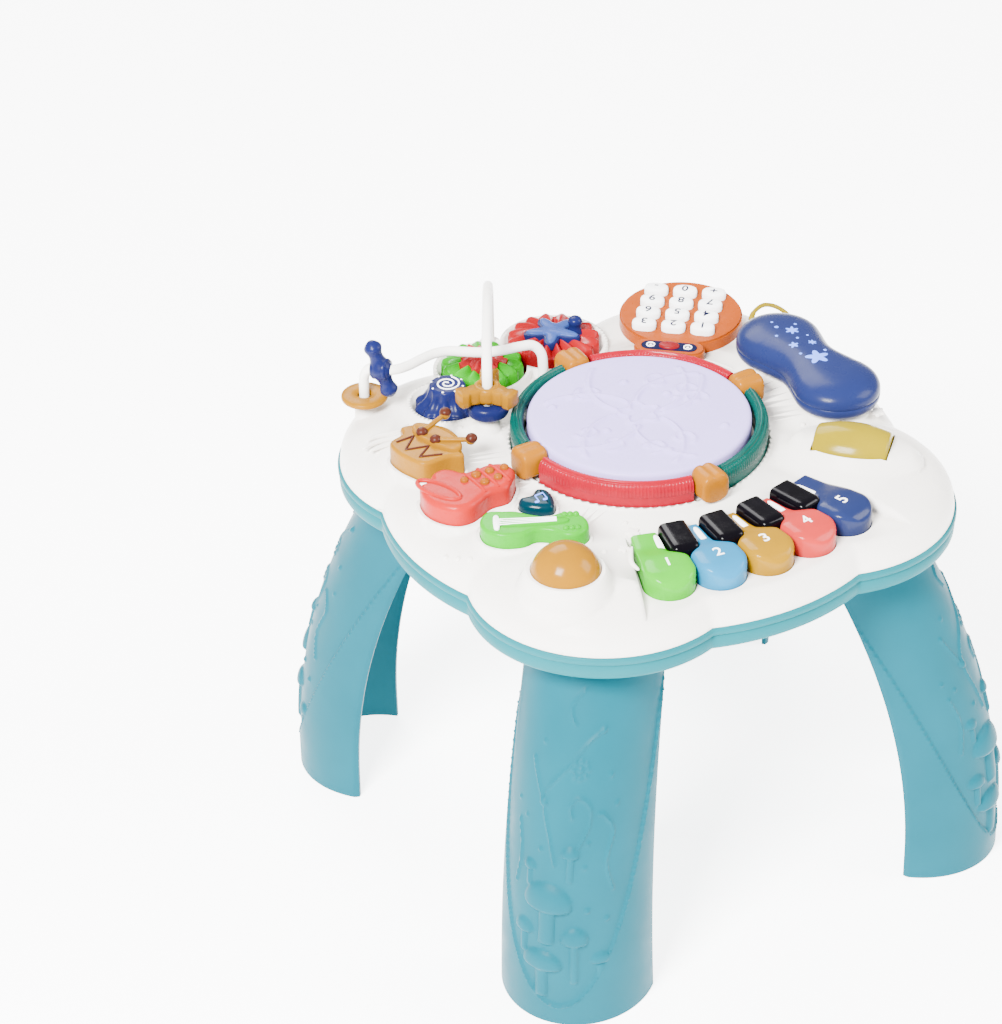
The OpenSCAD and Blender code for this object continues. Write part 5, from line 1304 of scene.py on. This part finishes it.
@dataclass
class Handset:
    """Blue waisted handset in two halves, with its yellow cord.

    x and y are its middle, half the distance from there to the middle of each round end, join the share of
    its height where the halves meet, cord_d the cord's diameter in metres, and route the cord's chosen
    points.
    flowers are (x, y, size, petals) and dots (x, y, size) about the middle.
    """

    x: float = 132.5
    y: float = 6.8
    end_r: float = 29.0
    half: float = 33.7
    waist: float = 21.0
    low: float = 288.6
    tall: float = 26.0
    join: float = 0.45
    cord_d: float = 0.003
    flowers: tuple[tuple[float, float, float, int], ...] = (
        (-1.5, -13, 8.2, 5), (3.5, 24, 4.8, 6), (-6, 8, 3.4, 5), (6.5, 4.5, 3.0, 6))
    dots: tuple[tuple[float, float, float], ...] = (
        (-3, 33, 1.5), (10, 30, 1.2), (-9, 24, 1.2), (1, 14, 1.1), (9, 14, 1.0), (-8, -3, 1.2), (8, -8, 1.3),
        (-2, 40, 1.0))
    route: tuple[Point, ...] = (
        (132, 70.4, 301), (133, 74.5, 302.6), (138, 78.5, 304.5), (147, 81.5, 305), (157, 83, 300.5),
        (166, 82.5, 293), (173, 79.5, 283), (178.5, 74.5, 271), (183, 67.5, 259), (186, 59, 249),
        (187.5, 49.5, 242), (187.5, 39.5, 237.5), (185.5, 30, 235), (181.5, 23, 234), (176, 20.5, 234.5),
        (170.5, 23.5, 236), (167, 31, 237.5), (166, 40, 239), (167.5, 49, 240), (171, 58, 241),
        (175, 66.5, 243), (178.5, 74, 246), (180, 80, 249.5), (178.5, 84.5, 252.5), (174.5, 86, 253.5),
        (170.9, 86, 253.5))

    @property
    def split(self) -> float:
        """Height where the two halves meet."""
        return self.low + self.join * self.tall

    def outline(self) -> np.ndarray:
        """The waisted outline: two round ends and a narrower waist, as one spline.

        Returns:
            Its points about the middle.
        """
        up = fan(np.arange(-20, 206, 12.5)) * self.end_r + np.array([0, self.half])
        down = fan(np.arange(160, 386, 12.5)) * self.end_r - np.array([0, self.half])
        return spline(np.vstack([up, [[-self.waist, 0]], down, [[self.waist, 0]]]), 5, True)

    def dome(self, f: np.ndarray, power: float) -> np.ndarray:
        """Share of the height at a share f of the way out: (1 - f ** power) ** (1 / power)."""
        return np.maximum(1 - f**power, 0) ** (1 / power)

    def crown(self, f: np.ndarray) -> np.ndarray:
        """Height of the upper half at a share f of the way out."""
        return self.split + 0.5 + (0.55 * self.tall - 0.5) * self.dome(f, 2.5)

    def keel(self, f: np.ndarray) -> np.ndarray:
        """Height of the lower half at a share f of the way out."""
        return self.split - 0.45 - (self.join * self.tall - 0.45) * self.dome(f, 3.0)

    def surface(self, xy: np.ndarray) -> np.ndarray:
        """Height of the upper half, for the marks that lie on it.

        Args:
            xy: points about the middle.

        Returns:
            The crown's height at d / w, where d is a point's distance from the spine and w the half width
            w = end_r + (waist - end_r) exp(-(y / 24)^2) there.
        """
        spine = np.column_stack([0 * xy[:, 0], np.clip(xy[:, 1], -self.half, self.half)])
        edge = self.end_r + (self.waist - self.end_r) * np.exp(-((spine[:, 1] / 24) ** 2))
        return self.crown(np.clip(np.linalg.norm(xy - spine, axis=1) / edge, 0, 1))

    def cord(self) -> None:
        """The yellow cord on its route, with a sleeve where it enters each side."""
        knots = spline(np.array(self.route), 6)
        path = knots * MM
        curve = bpy.data.curves.new("phone_cord", "CURVE")
        curve.dimensions = "3D"
        line = curve.splines.new("POLY")
        line.points.add(len(path) - 1)
        line.points.foreach_set("co", np.column_stack([path, np.ones(len(path))]).ravel())
        curve.bevel_depth = self.cord_d / 2
        curve.bevel_resolution = 3
        curve.use_fill_caps = True
        curve.materials.append(CORD.material())
        cord = bpy.data.objects.new("phone_cord", curve)
        bpy.context.scene.collection.objects.link(cord)
        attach(cord, "table")
        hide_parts("handset_cord")
        near = Skin().tube(knots[1:12], np.linspace(2.6, 1.65, 11), (1, 0, 0.2), 20)
        near.tube(knots[-11:-1], np.linspace(1.65, 2.6, 10), (0, 0, 1), 20)
        sleeves = near.build("cord_sleeves", CORD, "table", slot="cord_yellow")

    def build(self) -> None:
        """Makes both halves and the pale marks."""
        shape = self.outline()
        spine = np.column_stack([0 * shape[:, 0], np.clip(shape[:, 1], -self.half * 0.98, self.half * 0.98)])
        at, split = np.array([self.x, self.y]), self.split

        def ring(share: float, z: float) -> np.ndarray:
            """The outline drawn in to a share of its width, at a height."""
            return np.column_stack([spine + (shape - spine) * share + at, np.full(len(shape), z)])

        upper = [ring(k, self.crown(np.array(k))) for k in np.sin(np.linspace(np.pi / 2, 0.0, 30))]
        lip = [ring(k, z) for k, z in ((0.9, split + 0.05), (0.975, split + 0.05), (0.995, split + 0.25))]
        top = Skin().grid(np.stack(lip + upper), cap_low=True, cap_high=True)
        top.build("handset_shell", HANDSET, "handset", ("handset_top",), "handset_blue", 50)
        lower = [ring(k, self.keel(np.array(k))) for k in np.sin(np.linspace(0.5, np.pi / 2, 20))]
        lid = [ring(k, split - 0.05) for k in (0.985, 0.9)]
        base = Skin().grid(np.stack(lower + lid), cap_low=True, cap_high=True)
        base.build("handset_base", HANDSET, "handset", ("handset_bottom",), "handset_blue", 50)
        marks = Skin()
        a = np.arange(0, 360, 5.0)
        for x, y, size, petals in self.flowers:
            edge = fan(a) * (size * (0.74 + 0.26 * np.cos(np.radians(petals * a))))[:, None]
            places = [edge * k + np.array([x, y]) for k in np.linspace(0.02, 1, 9)]
            rows = [np.column_stack([xy + at, self.surface(xy) + 0.12]) for xy in places]
            marks.grid(np.stack([*rows, rows[-1] - np.array([0, 0, 0.6])]), cap_low=True, cap_high=True)
        for x, y, size in self.dots:
            z = float(self.surface(np.array([[x, y]], float))[0])
            marks.ball((x + at[0], y + at[1], z - 0.05), (size, size, 0.35), 10)
        marks.build("handset_marks", PALE, "handset", sharp=60)


# ---------------------------------------------------------------- rails and beads


@dataclass
class Rails:
    """Two white rails on the cover with two ring beads and two sliders.

    post and far are the arch's feet, left and right the low rail's, and the knob values place the slider with
    two knobs: its middle, the direction of its bore, that of its arm, and its reach.
    """

    r: float = 3.3
    post: tuple[float, float] = (-77.0, 69.5)
    far: tuple[float, float] = (-24.0, 158.0)
    left: tuple[float, float] = (-131.0, 138.5)
    right: tuple[float, float] = (-18.5, 97.0)
    rail_z: float = TABLE_H + 31
    root_z: float = TABLE_H - 8
    arch_foot: float = 36.0
    arch_rise: float = 26.0
    cloud_z: float = 316.5
    knob_at: Point = (-124.4, 126.2, 319.8)
    knob_bore: Point = (2.35, -3.23, 0.28)
    knob_lean: Point = (-0.236, 0.174, 0.956)
    knob_reach: float = 21.9

    def low_rail(self) -> None:
        """The low rail through the same points as its solid."""
        mid = [[-130.6, 137.2, -7], [-129, 133.6, -1.4], [-126.6, 129.4, 0.6], [-124, 125.2, 1],
               [-121, 122, 1], [-115.5, 120.2, 0.6], [-106, 121.2, 0], [-95, 123.8, 0], [-85, 125.2, 0],
               [-75, 123, 0], [-66, 116, 0], [-56, 109, 0], [-44.7, 105, 0], [-33, 103, 0],
               [-24, 101.3, -1], [-19.5, 98.5, -6]]
        path = np.vstack([[[*self.left, self.root_z], [*self.left, TABLE_H + 16]],
                          np.array(mid) + [0, 0, self.rail_z],
                          [[*self.right, TABLE_H + 16], [*self.right, self.root_z]]])
        tube = Skin().tube(spline(path, 8), self.r, (0.3, 1.0, 0.05), 28)
        tube.build("low_rail_tube", RAIL, "table", ("low_rail",), "rail_white", 60)

    def arch(self) -> None:
        """The arch: straight feet and half an ellipse between them."""
        a, b = np.array(self.post), np.array(self.far)
        mid, span = (a + b) / 2, np.linalg.norm(b - a) / 2
        way = (b - a) / np.linalg.norm(b - a)
        t = np.radians(np.linspace(180, 0, 97))
        top = TABLE_H + self.arch_foot + 2 + self.arch_rise * np.sin(t)
        bow = np.column_stack([mid + (span * np.cos(t))[:, None] * way, top])
        rise = np.linspace(self.root_z, TABLE_H + self.arch_foot, 8)
        up = np.column_stack([np.tile(a, (8, 1)), rise])
        down = np.column_stack([np.tile(b, (8, 1)), rise[::-1]])
        tube = Skin().tube(np.vstack([up, bow, down]), self.r, (way[1], -way[0], 0), 28)
        tube.build("arch_tube", RAIL, "table", ("arch_rail",), "rail_white", 60)

    def ring(self, name: str, node: str, body: str, slot: str, finish: Finish, at: Point, outer: float,
             half: float) -> None:
        """A flat ring bead: a rounded outer edge and a rounded bore.

        Args:
            name: the piece's name.
            node: the solid that it stands for.
            body: the body that it rides on.
            slot: the record's material slot.
            finish: its surface.
            at: its middle.
            outer: its outer radius.
            half: half its thickness.
        """
        t = np.radians(np.linspace(0, 360, 64, endpoint=False))
        bore = self.r + 1.0
        mid, wide = (outer + bore) / 2, (outer - bore) / 2
        c, s = np.cos(t), np.sin(t)
        profile = np.column_stack([mid + wide * bulged(c, 0.9), half * bulged(s, 0.72)])
        rows = revolved(profile, fan(np.arange(96) * 3.75)) + np.array(at)
        Skin().grid(rows, wrap_u=True).build(name, finish, body, (node,), slot, 60)

    def orange_slider(self) -> None:
        """A collar with three stems that end in wider, rounded blocks."""
        z0 = self.cloud_z
        arm = np.array([[3.0, 5.4], [9.5, 5.4], [13.5, 4.4], [16.0, 6.2], [20.3, 6.1], [21.4, 3.0]])
        half = np.vstack([arm, (arm * [1, -1])[::-1]])
        edges = [np.linspace(p, q, 4, endpoint=False) for p, q in zip(half, np.roll(half, -1, 0))]
        shape = anticlockwise(np.vstack(edges))
        steps = np.array([[-5.2, 1.2], [-4.6, 0.4], [-3.6, 0.0], [3.6, 0.0], [4.6, 0.4], [5.2, 1.2]])
        steps += [z0, 0]
        skin = Skin()
        for turn in (55, 175, 295):
            skin.pad(turned(shape, turn, self.post), steps)
        t = np.radians(np.linspace(0, 360, 48, endpoint=False))
        collar = np.column_stack([6.9 + 2.6 * np.cos(t), 5.6 * bulged(np.sin(t), 0.7)])
        skin.grid(revolved(collar, fan(np.arange(72) * 5.0)) + np.array([*self.post, z0]), wrap_u=True)
        skin.build("cloud_slider", AMBER, "orange_slide_bead", ("orange_slider",), "slider_orange", 50)

    def blue_slider(self) -> None:
        """A slider with two swollen knobs on an arm across its bore, and a collar round the rail."""
        bore = np.array(self.knob_bore)
        bore /= np.linalg.norm(bore)
        reach = self.knob_reach * np.linspace(-1, 1, 81)
        swell = 1.7 * np.exp(-(((np.abs(reach) - 16.4) / 3.6) ** 2)) + 3.6 * np.exp(-((reach / 6.0) ** 2))
        end = np.sqrt(np.clip(1 - (np.clip(np.abs(reach) - 16.2, 0, None) / 5.72) ** 2, 0, 1))
        path = np.array(self.knob_at) + reach[:, None] * np.array(self.knob_lean)
        knobs = Skin().tube(path, np.maximum((4.3 + swell) * end, 0.02), tuple(bore), 40)
        knobs.build("knob_slider", NAVY, "blue_slide_bead", ("blue_slider",), "bead_blue", 60)
        profile = np.array([[4.5, 5.6], [6.6, 5.4], [7.4, 4.2], [7.0, 2.0], [7.0, -2.0], [7.4, -4.2],
                            [6.6, -5.4], [4.5, -5.6], [4.5, 5.6]])
        collar = Skin().lathe(profile, self.knob_at, 48, tuple(bore))
        collar.build("knob_slider_collar", NAVY, "blue_slide_bead", slot="bead_blue", sharp=60)

    def build(self) -> None:
        """Makes the rails and the beads."""
        self.low_rail()
        self.arch()
        self.ring("amber_ring", "yellow_ring_bead", "yellow_ring", "bead_yellow", AMBER,
                  (*self.left, 294.4), 15.5, 2.6)
        self.ring("blue_ring_bead_top", "blue_ring_bead", "blue_ring", "bead_blue", NAVY,
                  (*self.post, 304.5), 14.0, 5.2)
        self.orange_slider()
        self.blue_slider()


# ---------------------------------------------------------------- picture buttons, ball and roller


@dataclass
class PictureButtons:
    """Four raised picture buttons: a drum, a saxophone, a guitar and a heart.

    The heights are above the playing surface. flange holds (height, inset) of the rim under the cover.
    """

    drum: tuple[tuple[float, float], ...] = (
        (-150, 69.5), (-152, 58), (-149, 45), (-143, 35), (-126, 34.5), (-117.5, 31), (-114.5, 38.5),
        (-109.5, 49.5), (-108.8, 60), (-112, 69), (-120, 77), (-134.5, 81.5), (-139, 74))
    sax: tuple[tuple[float, float], ...] = (
        (-162, 6), (-162, -4), (-158, -13.5), (-151, -20.5), (-142, -21.8), (-133, -18.5), (-124, -14.5),
        (-112, -15), (-104.5, -9), (-98.5, -1.5), (-98, 5.5), (-101.5, 11), (-109.5, 14.3), (-119, 14),
        (-127, 14.5), (-131, 20.5), (-137, 25), (-145, 23.5), (-149.5, 17.5), (-158, 16))
    guitar: tuple[tuple[float, float], ...] = (
        (-147, -45), (-143.5, -34), (-135, -28.5), (-126, -33), (-119, -37.5), (-113, -45.5), (-105, -52.5),
        (-95, -53.5), (-88, -59.5), (-86, -68), (-90, -77), (-99, -80), (-106, -76.5), (-111, -68),
        (-119, -62), (-128, -62.5), (-137, -59), (-143.5, -53.5))
    half_heart: tuple[tuple[float, float], ...] = (
        (0, -12), (6.5, -7.5), (11, 0), (11.6, 6.5), (7, 10.8), (0, 8.4))
    heart_at: tuple[float, float] = (-97, -29)
    drum_h: float = 15.0
    sax_h: float = 15.0
    guitar_h: float = 11.5
    heart_h: float = 8.0
    flange: tuple[tuple[float, float], ...] = ((273.7, -1.6), (275.6, -1.6), (275.7, 0))

    def block(self, outline: np.ndarray, top: float, edge: float) -> Skin:
        """A soft block over an outline, with a quarter-round upper edge.

        Args:
            outline: the block's outline.
            top: its height above the playing surface.
            edge: the width of its rounding.
        Returns:
            A skin from under the cover to the crown.
        """
        q = np.linspace(0, np.pi / 2, 9)
        crown = np.column_stack([TABLE_H + top - edge + edge * np.sin(q), edge * (1 - np.cos(q))])
        return Skin().pad(anticlockwise(outline), np.vstack([self.flange, crown]))

    def build_drum(self) -> None:
        """The drum picture: a body with a brown zigzag, a skin and two sticks."""
        shape = spline(np.array(self.drum), 6, True)
        block = self.block(shape, self.drum_h, 2.6)
        block.build("drum_picture_block", DRUM_TOY, "drum_picture", ("drum_button",), "picture_orange", 50)
        z = TABLE_H + self.drum_h
        extra = Skin()
        skin_2d = turned(fan(np.arange(0, 360, 6.0)) * np.array([21, 8.5]), -74, (-122.5, 56.5))
        extra.pad(skin_2d, np.array([[z - 1, 0], [z + 1.8, 0], [z + 2.6, 0.8], [z + 2.3, 2.2]]))
        for a, b in (((-129, 64.5), (-106.5, 74.0)), ((-126, 52), (-107.5, 39))):
            path = np.linspace([*a, z + 2.6], [*b, z + 3.4], 16)
            extra.tube(path, 1.9 - 0.3 * np.linspace(0, 1, 16), (0, 0, 1), 16).ball((*b, z + 3.4), 3.5, 16)
        extra.build("drum_picture_sticks", DRUM_TOY, "drum_picture", slot="picture_orange", sharp=60)
        brown = Skin()
        zig = np.array([[-147, 66], [-134, 66.5], [-146.5, 55], [-131.5, 51], [-143, 43], [-129, 38]])
        strokes = [np.linspace(p, q, 8, endpoint=False) for p, q in zip(zig[:-1], zig[1:])]
        fine = np.vstack([*strokes, zig[-1:]])
        brown.tube(np.column_stack([fine, np.full(len(fine), z + 0.1)]), 0.85, (0, 0, 1), 10)
        for x, y, h in ((-129, 64.5, z + 2.6), (-126, 52, z + 2.6), (-106.0, 74.4, z + 4.6),
                        (-107.0, 38.6, z + 4.6)):
            brown.ball((x, y, h), (3.9, 3.9, 3.2), 16)
        brown.build("drum_picture_marks", BROWN, "drum_picture", sharp=60)

    def build_sax(self) -> None:
        """The saxophone picture: a body with a raised bell mouth, bands and round keys."""
        shape = spline(np.array(self.sax), 6, True)
        block = self.block(shape, self.sax_h, 4.2)
        block.build("sax_picture_block", SAX, "sax_picture", ("sax_button",), "picture_coral", 50)
        z = TABLE_H + self.sax_h
        bell = Skin()
        mouth = turned(fan(np.arange(0, 361, 6.0)) * np.array([16.5, 6.2]), 112, (-151.5, 3.5))
        bell.tube(np.column_stack([mouth, np.full(len(mouth), z)]), 1.5, (0, 0, 1), 12)
        t = np.linspace(0, 1, 14)
        for x0, y0, x1, y1 in ((-128, 12, -127, -13), (-118, 12.5, -117, -12.5), (-109, 12.5, -107.5, -10)):
            band = [x0 + (x1 - x0) * t, y0 + (y1 - y0) * t, z - 0.3 - 1.2 * (2 * t - 1) ** 4]
            bell.tube(np.column_stack(band), 1.5, (0, 0, 1), 12)
        bell.build("sax_picture_bands", SAX, "sax_picture", slot="picture_coral", sharp=60)
        keys = Skin()
        for x, y, r in ((-123, 5.5, 3.2), (-122.5, -4.5, 3.0), (-113.5, 5, 3.0), (-112.5, -4, 2.8),
                        (-103.5, 3.5, 2.8), (-132.5, 4, 2.6)):
            profile = np.array([[0.01, 2.4], [r * 0.7, 2.2], [r, 1.2], [r, -1.0], [0.01, -1.0]])
            keys.lathe(profile, (x, y, z), 32)
        keys.build("sax_picture_keys", SAX_KEYS, "sax_picture", sharp=60)

    def build_guitar(self) -> None:
        """The guitar picture: a body with a neck, a bridge, four strings and a lobed head."""
        shape = spline(np.array(self.guitar), 6, True)
        block = self.block(shape, self.guitar_h, 2.8)
        block.build("guitar_picture_block", GUITAR, "guitar_picture", ("guitar_button",), "picture_green", 50)
        z = TABLE_H + self.guitar_h
        way = np.array([-95.5, -66]) - np.array([-137, -44.5])
        way /= np.linalg.norm(way)
        off = np.array([-way[1], way[0]])
        turn = math.degrees(math.atan2(way[1], way[0]))
        neck = Skin()
        bar = spline(np.array([[-1, -3.6], [34, -2.8], [34, 2.8], [-1, 3.6]], float), 6, True)
        bar = turned(bar, turn, (-131, -47.5))
        neck.pad(anticlockwise(bar), np.array([[z - 1, 0], [z + 0.9, 0], [z + 1.5, 0.6]]))
        for k in range(3):
            for s in (-1, 1):
                at = np.array([-99.5, -64.5]) + way * (3.6 * k) + off * s * 7.6
                neck.ball((at[0], at[1], z - 0.5), (2.3, 2.3, 2.4), 14)
        neck.build("guitar_picture_neck", GUITAR, "guitar_picture", slot="picture_green", sharp=60)
        white = Skin()
        for k in (-1.5, -0.5, 0.5, 1.5):
            a, b = np.array([-137, -44.5]) + off * k * 2.0, np.array([-104, -61.5]) + off * k * 1.3
            white.tube(np.linspace([*a, z + 1.3], [*b, z + 1.7], 10), 0.42, (0, 0, 1), 8)
        bridge = spline(np.array([[-1.6, -6], [1.6, -6], [1.6, 6], [-1.6, 6]], float), 6, True)
        bridge = turned(bridge, turn, (-137.5, -44.3))
        white.pad(anticlockwise(bridge), np.array([[z - 0.5, 0], [z + 1.4, 0], [z + 1.8, 0.4]]))
        white.build("guitar_picture_strings", WHITE_INK, "guitar_picture", sharp=60)

    def build_heart(self) -> None:
        """The heart button, softly domed, with a small note of pale lines."""
        right = np.array(self.half_heart)
        shape = turned(spline(np.vstack([right, (right[1:-1] * [-1, 1])[::-1]]), 8, True), 14, self.heart_at)
        q = np.linspace(0, np.pi / 2, 14)
        crown = np.column_stack([TABLE_H + self.heart_h - 5 + 5 * np.sin(q), 4.6 * (1 - np.cos(q))])
        block = Skin().pad(anticlockwise(shape), np.vstack([self.flange, crown]))
        block.build("heart_picture_block", HEART, "heart_picture", ("heart_button",), "picture_teal", 60)
        note = Skin()
        z = TABLE_H + self.heart_h + 0.1
        for x in (-100.5, -94.5):
            note.ball((x, -32.0, z), (1.7, 1.3, 0.35), 10)
            note.tube(np.linspace([x + 1.4, -32, z], [x + 2.2, -25.5, z], 6), 0.4, (0, 0, 1), 8)
        note.tube(np.linspace([-98.3, -25.7, z], [-92.3, -25.2, z], 6), 0.6, (0, 0, 1), 8)
        note.build("heart_picture_note", PALE, "heart_picture", sharp=60)

    def build(self) -> None:
        """Makes all four."""
        self.build_drum()
        self.build_sax()
        self.build_guitar()
        self.build_heart()


@dataclass
class Rollers:
    """The orange ball in its ring and the yellow roller in its mound: their middles and radii."""

    ball: Point = (-125.9, -108.6, 293.3)
    ball_r: float = 22.7
    roller: Point = (107.6, -81.6, 287.5)
    roller_turn: float = -46.0
    roller_r: float = 21.0
    thinner: float = 4.0
    half: float = 24.4
    bore: float = 2.56

    def build(self) -> None:
        """Makes both: a sphere, and a barrel of radius r - 4 u^2 with softened ends."""
        ball = Skin().ball(self.ball, self.ball_r, 72)
        ball.build("orange_ball_skin", BALL, "ball", ("orange_ball",), "ball_orange", 80)
        u = np.linspace(-1, 1, 61)
        r = self.roller_r - self.thinner * u**2
        soft = (1 - np.clip((np.abs(u) - 0.95) / 0.05, 0, 1) ** 2) * 0.9 - 0.9
        profile = np.vstack([[[self.bore, -self.half]], np.column_stack([r + soft, self.half * u]),
                             [[self.bore, self.half]], [[self.bore, -self.half]]])
        axis = (math.cos(math.radians(self.roller_turn)), math.sin(math.radians(self.roller_turn)), 0.0)
        barrel = Skin().lathe(profile, self.roller, 128, axis)
        barrel.build("roller_barrel", YELLOW, "roller", ("yellow_roller",), "roller_yellow", 50)


# ---------------------------------------------------------------- studio


@dataclass(frozen=True)
class Lamp:
    """A square soft light: its name, its place and side in metres, and its power in watts."""

    name: str
    at: Point
    side: float
    watts: float


@dataclass
class Studio:
    """Camera, lights and a pale floor, in metres.

    azimuth, elevation, focal_px and middle_px are those of the camera that was fitted to the photograph.
    """

    eye: Point = (-1.0766, -1.6927, 1.5795)
    azimuth: float = -32.075
    elevation: float = 34.764
    focal_px: float = 3668.1
    middle_px: tuple[float, float] = (624.0, 570.8)
    size_px: tuple[int, int] = (1002, 1024)
    sensor_mm: float = 36.0
    target: Point = (0, 0, 0.25)
    floor_half: float = 8.0
    floor_z: float = -0.0005
    floor_glow: float = 5.0
    room_light: float = 0.8
    lamps: tuple[Lamp, ...] = (
        Lamp("key", (-1.5, -0.9, 1.9), 0.8, 360), Lamp("fill", (1.7, -1.1, 1.5), 1.2, 90),
        Lamp("back", (0.3, 1.8, 2.0), 1.4, 100))

    def camera(self) -> None:
        """A camera that looks along the fitted direction, shifted as the picture is framed."""
        data = bpy.data.cameras.new("eye")
        wide, high = self.size_px
        data.sensor_width = self.sensor_mm
        data.lens = self.focal_px * self.sensor_mm / max(wide, high)
        data.shift_x = (wide / 2 - self.middle_px[0]) / max(wide, high)
        data.shift_y = -(high / 2 - self.middle_px[1]) / max(wide, high)
        data.clip_start, data.clip_end = 0.05, 50
        eye = bpy.data.objects.new("eye", data)
        bpy.context.scene.collection.objects.link(eye)
        a, e = math.radians(self.azimuth), math.radians(self.elevation)
        back = Vector((math.sin(a) * math.cos(e), -math.cos(a) * math.cos(e), math.sin(e)))
        eye.location = self.eye
        eye.rotation_mode = "QUATERNION"
        eye.rotation_quaternion = (-back).to_track_quat("-Z", "Y")
        bpy.context.scene.camera = eye

    def light(self, lamp: Lamp) -> None:
        """Hangs one lamp and aims it at the table.

        Args:
            lamp: which lamp.
        """
        data = bpy.data.lights.new(lamp.name, "AREA")
        data.size = lamp.side
        data.energy = lamp.watts
        piece = bpy.data.objects.new(lamp.name, data)
        piece.location = lamp.at
        piece.rotation_mode = "QUATERNION"
        piece.rotation_quaternion = (Vector(self.target) - Vector(lamp.at)).to_track_quat("-Z", "Y")
        bpy.context.scene.collection.objects.link(piece)

    def floor_material(self) -> bpy.types.Material:
        """A white sheet that is lit from behind, as in a product photograph.

        Returns:
            The material.
        """
        mat = Finish("floor_pale", (250, 250, 250), Gloss.MATT, 0.005, 300, 8, 0.02).material()
        shader = mat.node_tree.nodes["Principled BSDF"]
        shader.inputs["Emission Color"].default_value = (1, 1, 1, 1)
        shader.inputs["Emission Strength"].default_value = self.floor_glow
        return mat

    def build(self) -> None:
        """Sets up the floor and the lights."""
        floor = bpy.data.meshes.new("floor")
        signs = ((-1, -1), (1, -1), (1, 1), (-1, 1))
        corners = [(x * self.floor_half, y * self.floor_half, self.floor_z) for x, y in signs]
        floor.from_pydata(corners, [], [(0, 1, 2, 3)])
        floor.materials.append(self.floor_material())
        piece = bpy.data.objects.new("floor", floor)
        bpy.context.scene.collection.objects.link(piece)
        world = bpy.data.worlds.new("room")
        world.use_nodes = True
        sky = world.node_tree.nodes["Background"]
        sky.inputs["Color"].default_value = (1, 1, 1, 1)
        sky.inputs["Strength"].default_value = self.room_light
        bpy.context.scene.world = world
        for lamp in self.lamps:
            self.light(lamp)


def main() -> None:
    """Builds the camera and the cord, then every sub-assembly."""
    logging.basicConfig(level=logging.INFO, format="%(name)s: %(message)s")
    studio = Studio()
    studio.camera()
    handset = Handset()
    handset.cord()
    studio.build()
    Case().build()
    for name, direction in (("front_left_leg", 225), ("front_right_leg", 315), ("back_left_leg", 135),
                            ("back_right_leg", 45)):
        Leg(name, direction).build()
    Drum().build()
    Piano().build()
    GearTrain().build()
    Dial().build()
    handset.build()
    Rails().build()
    PictureButtons().build()
    Rollers().build()


if __name__ == "__main__":
    main()
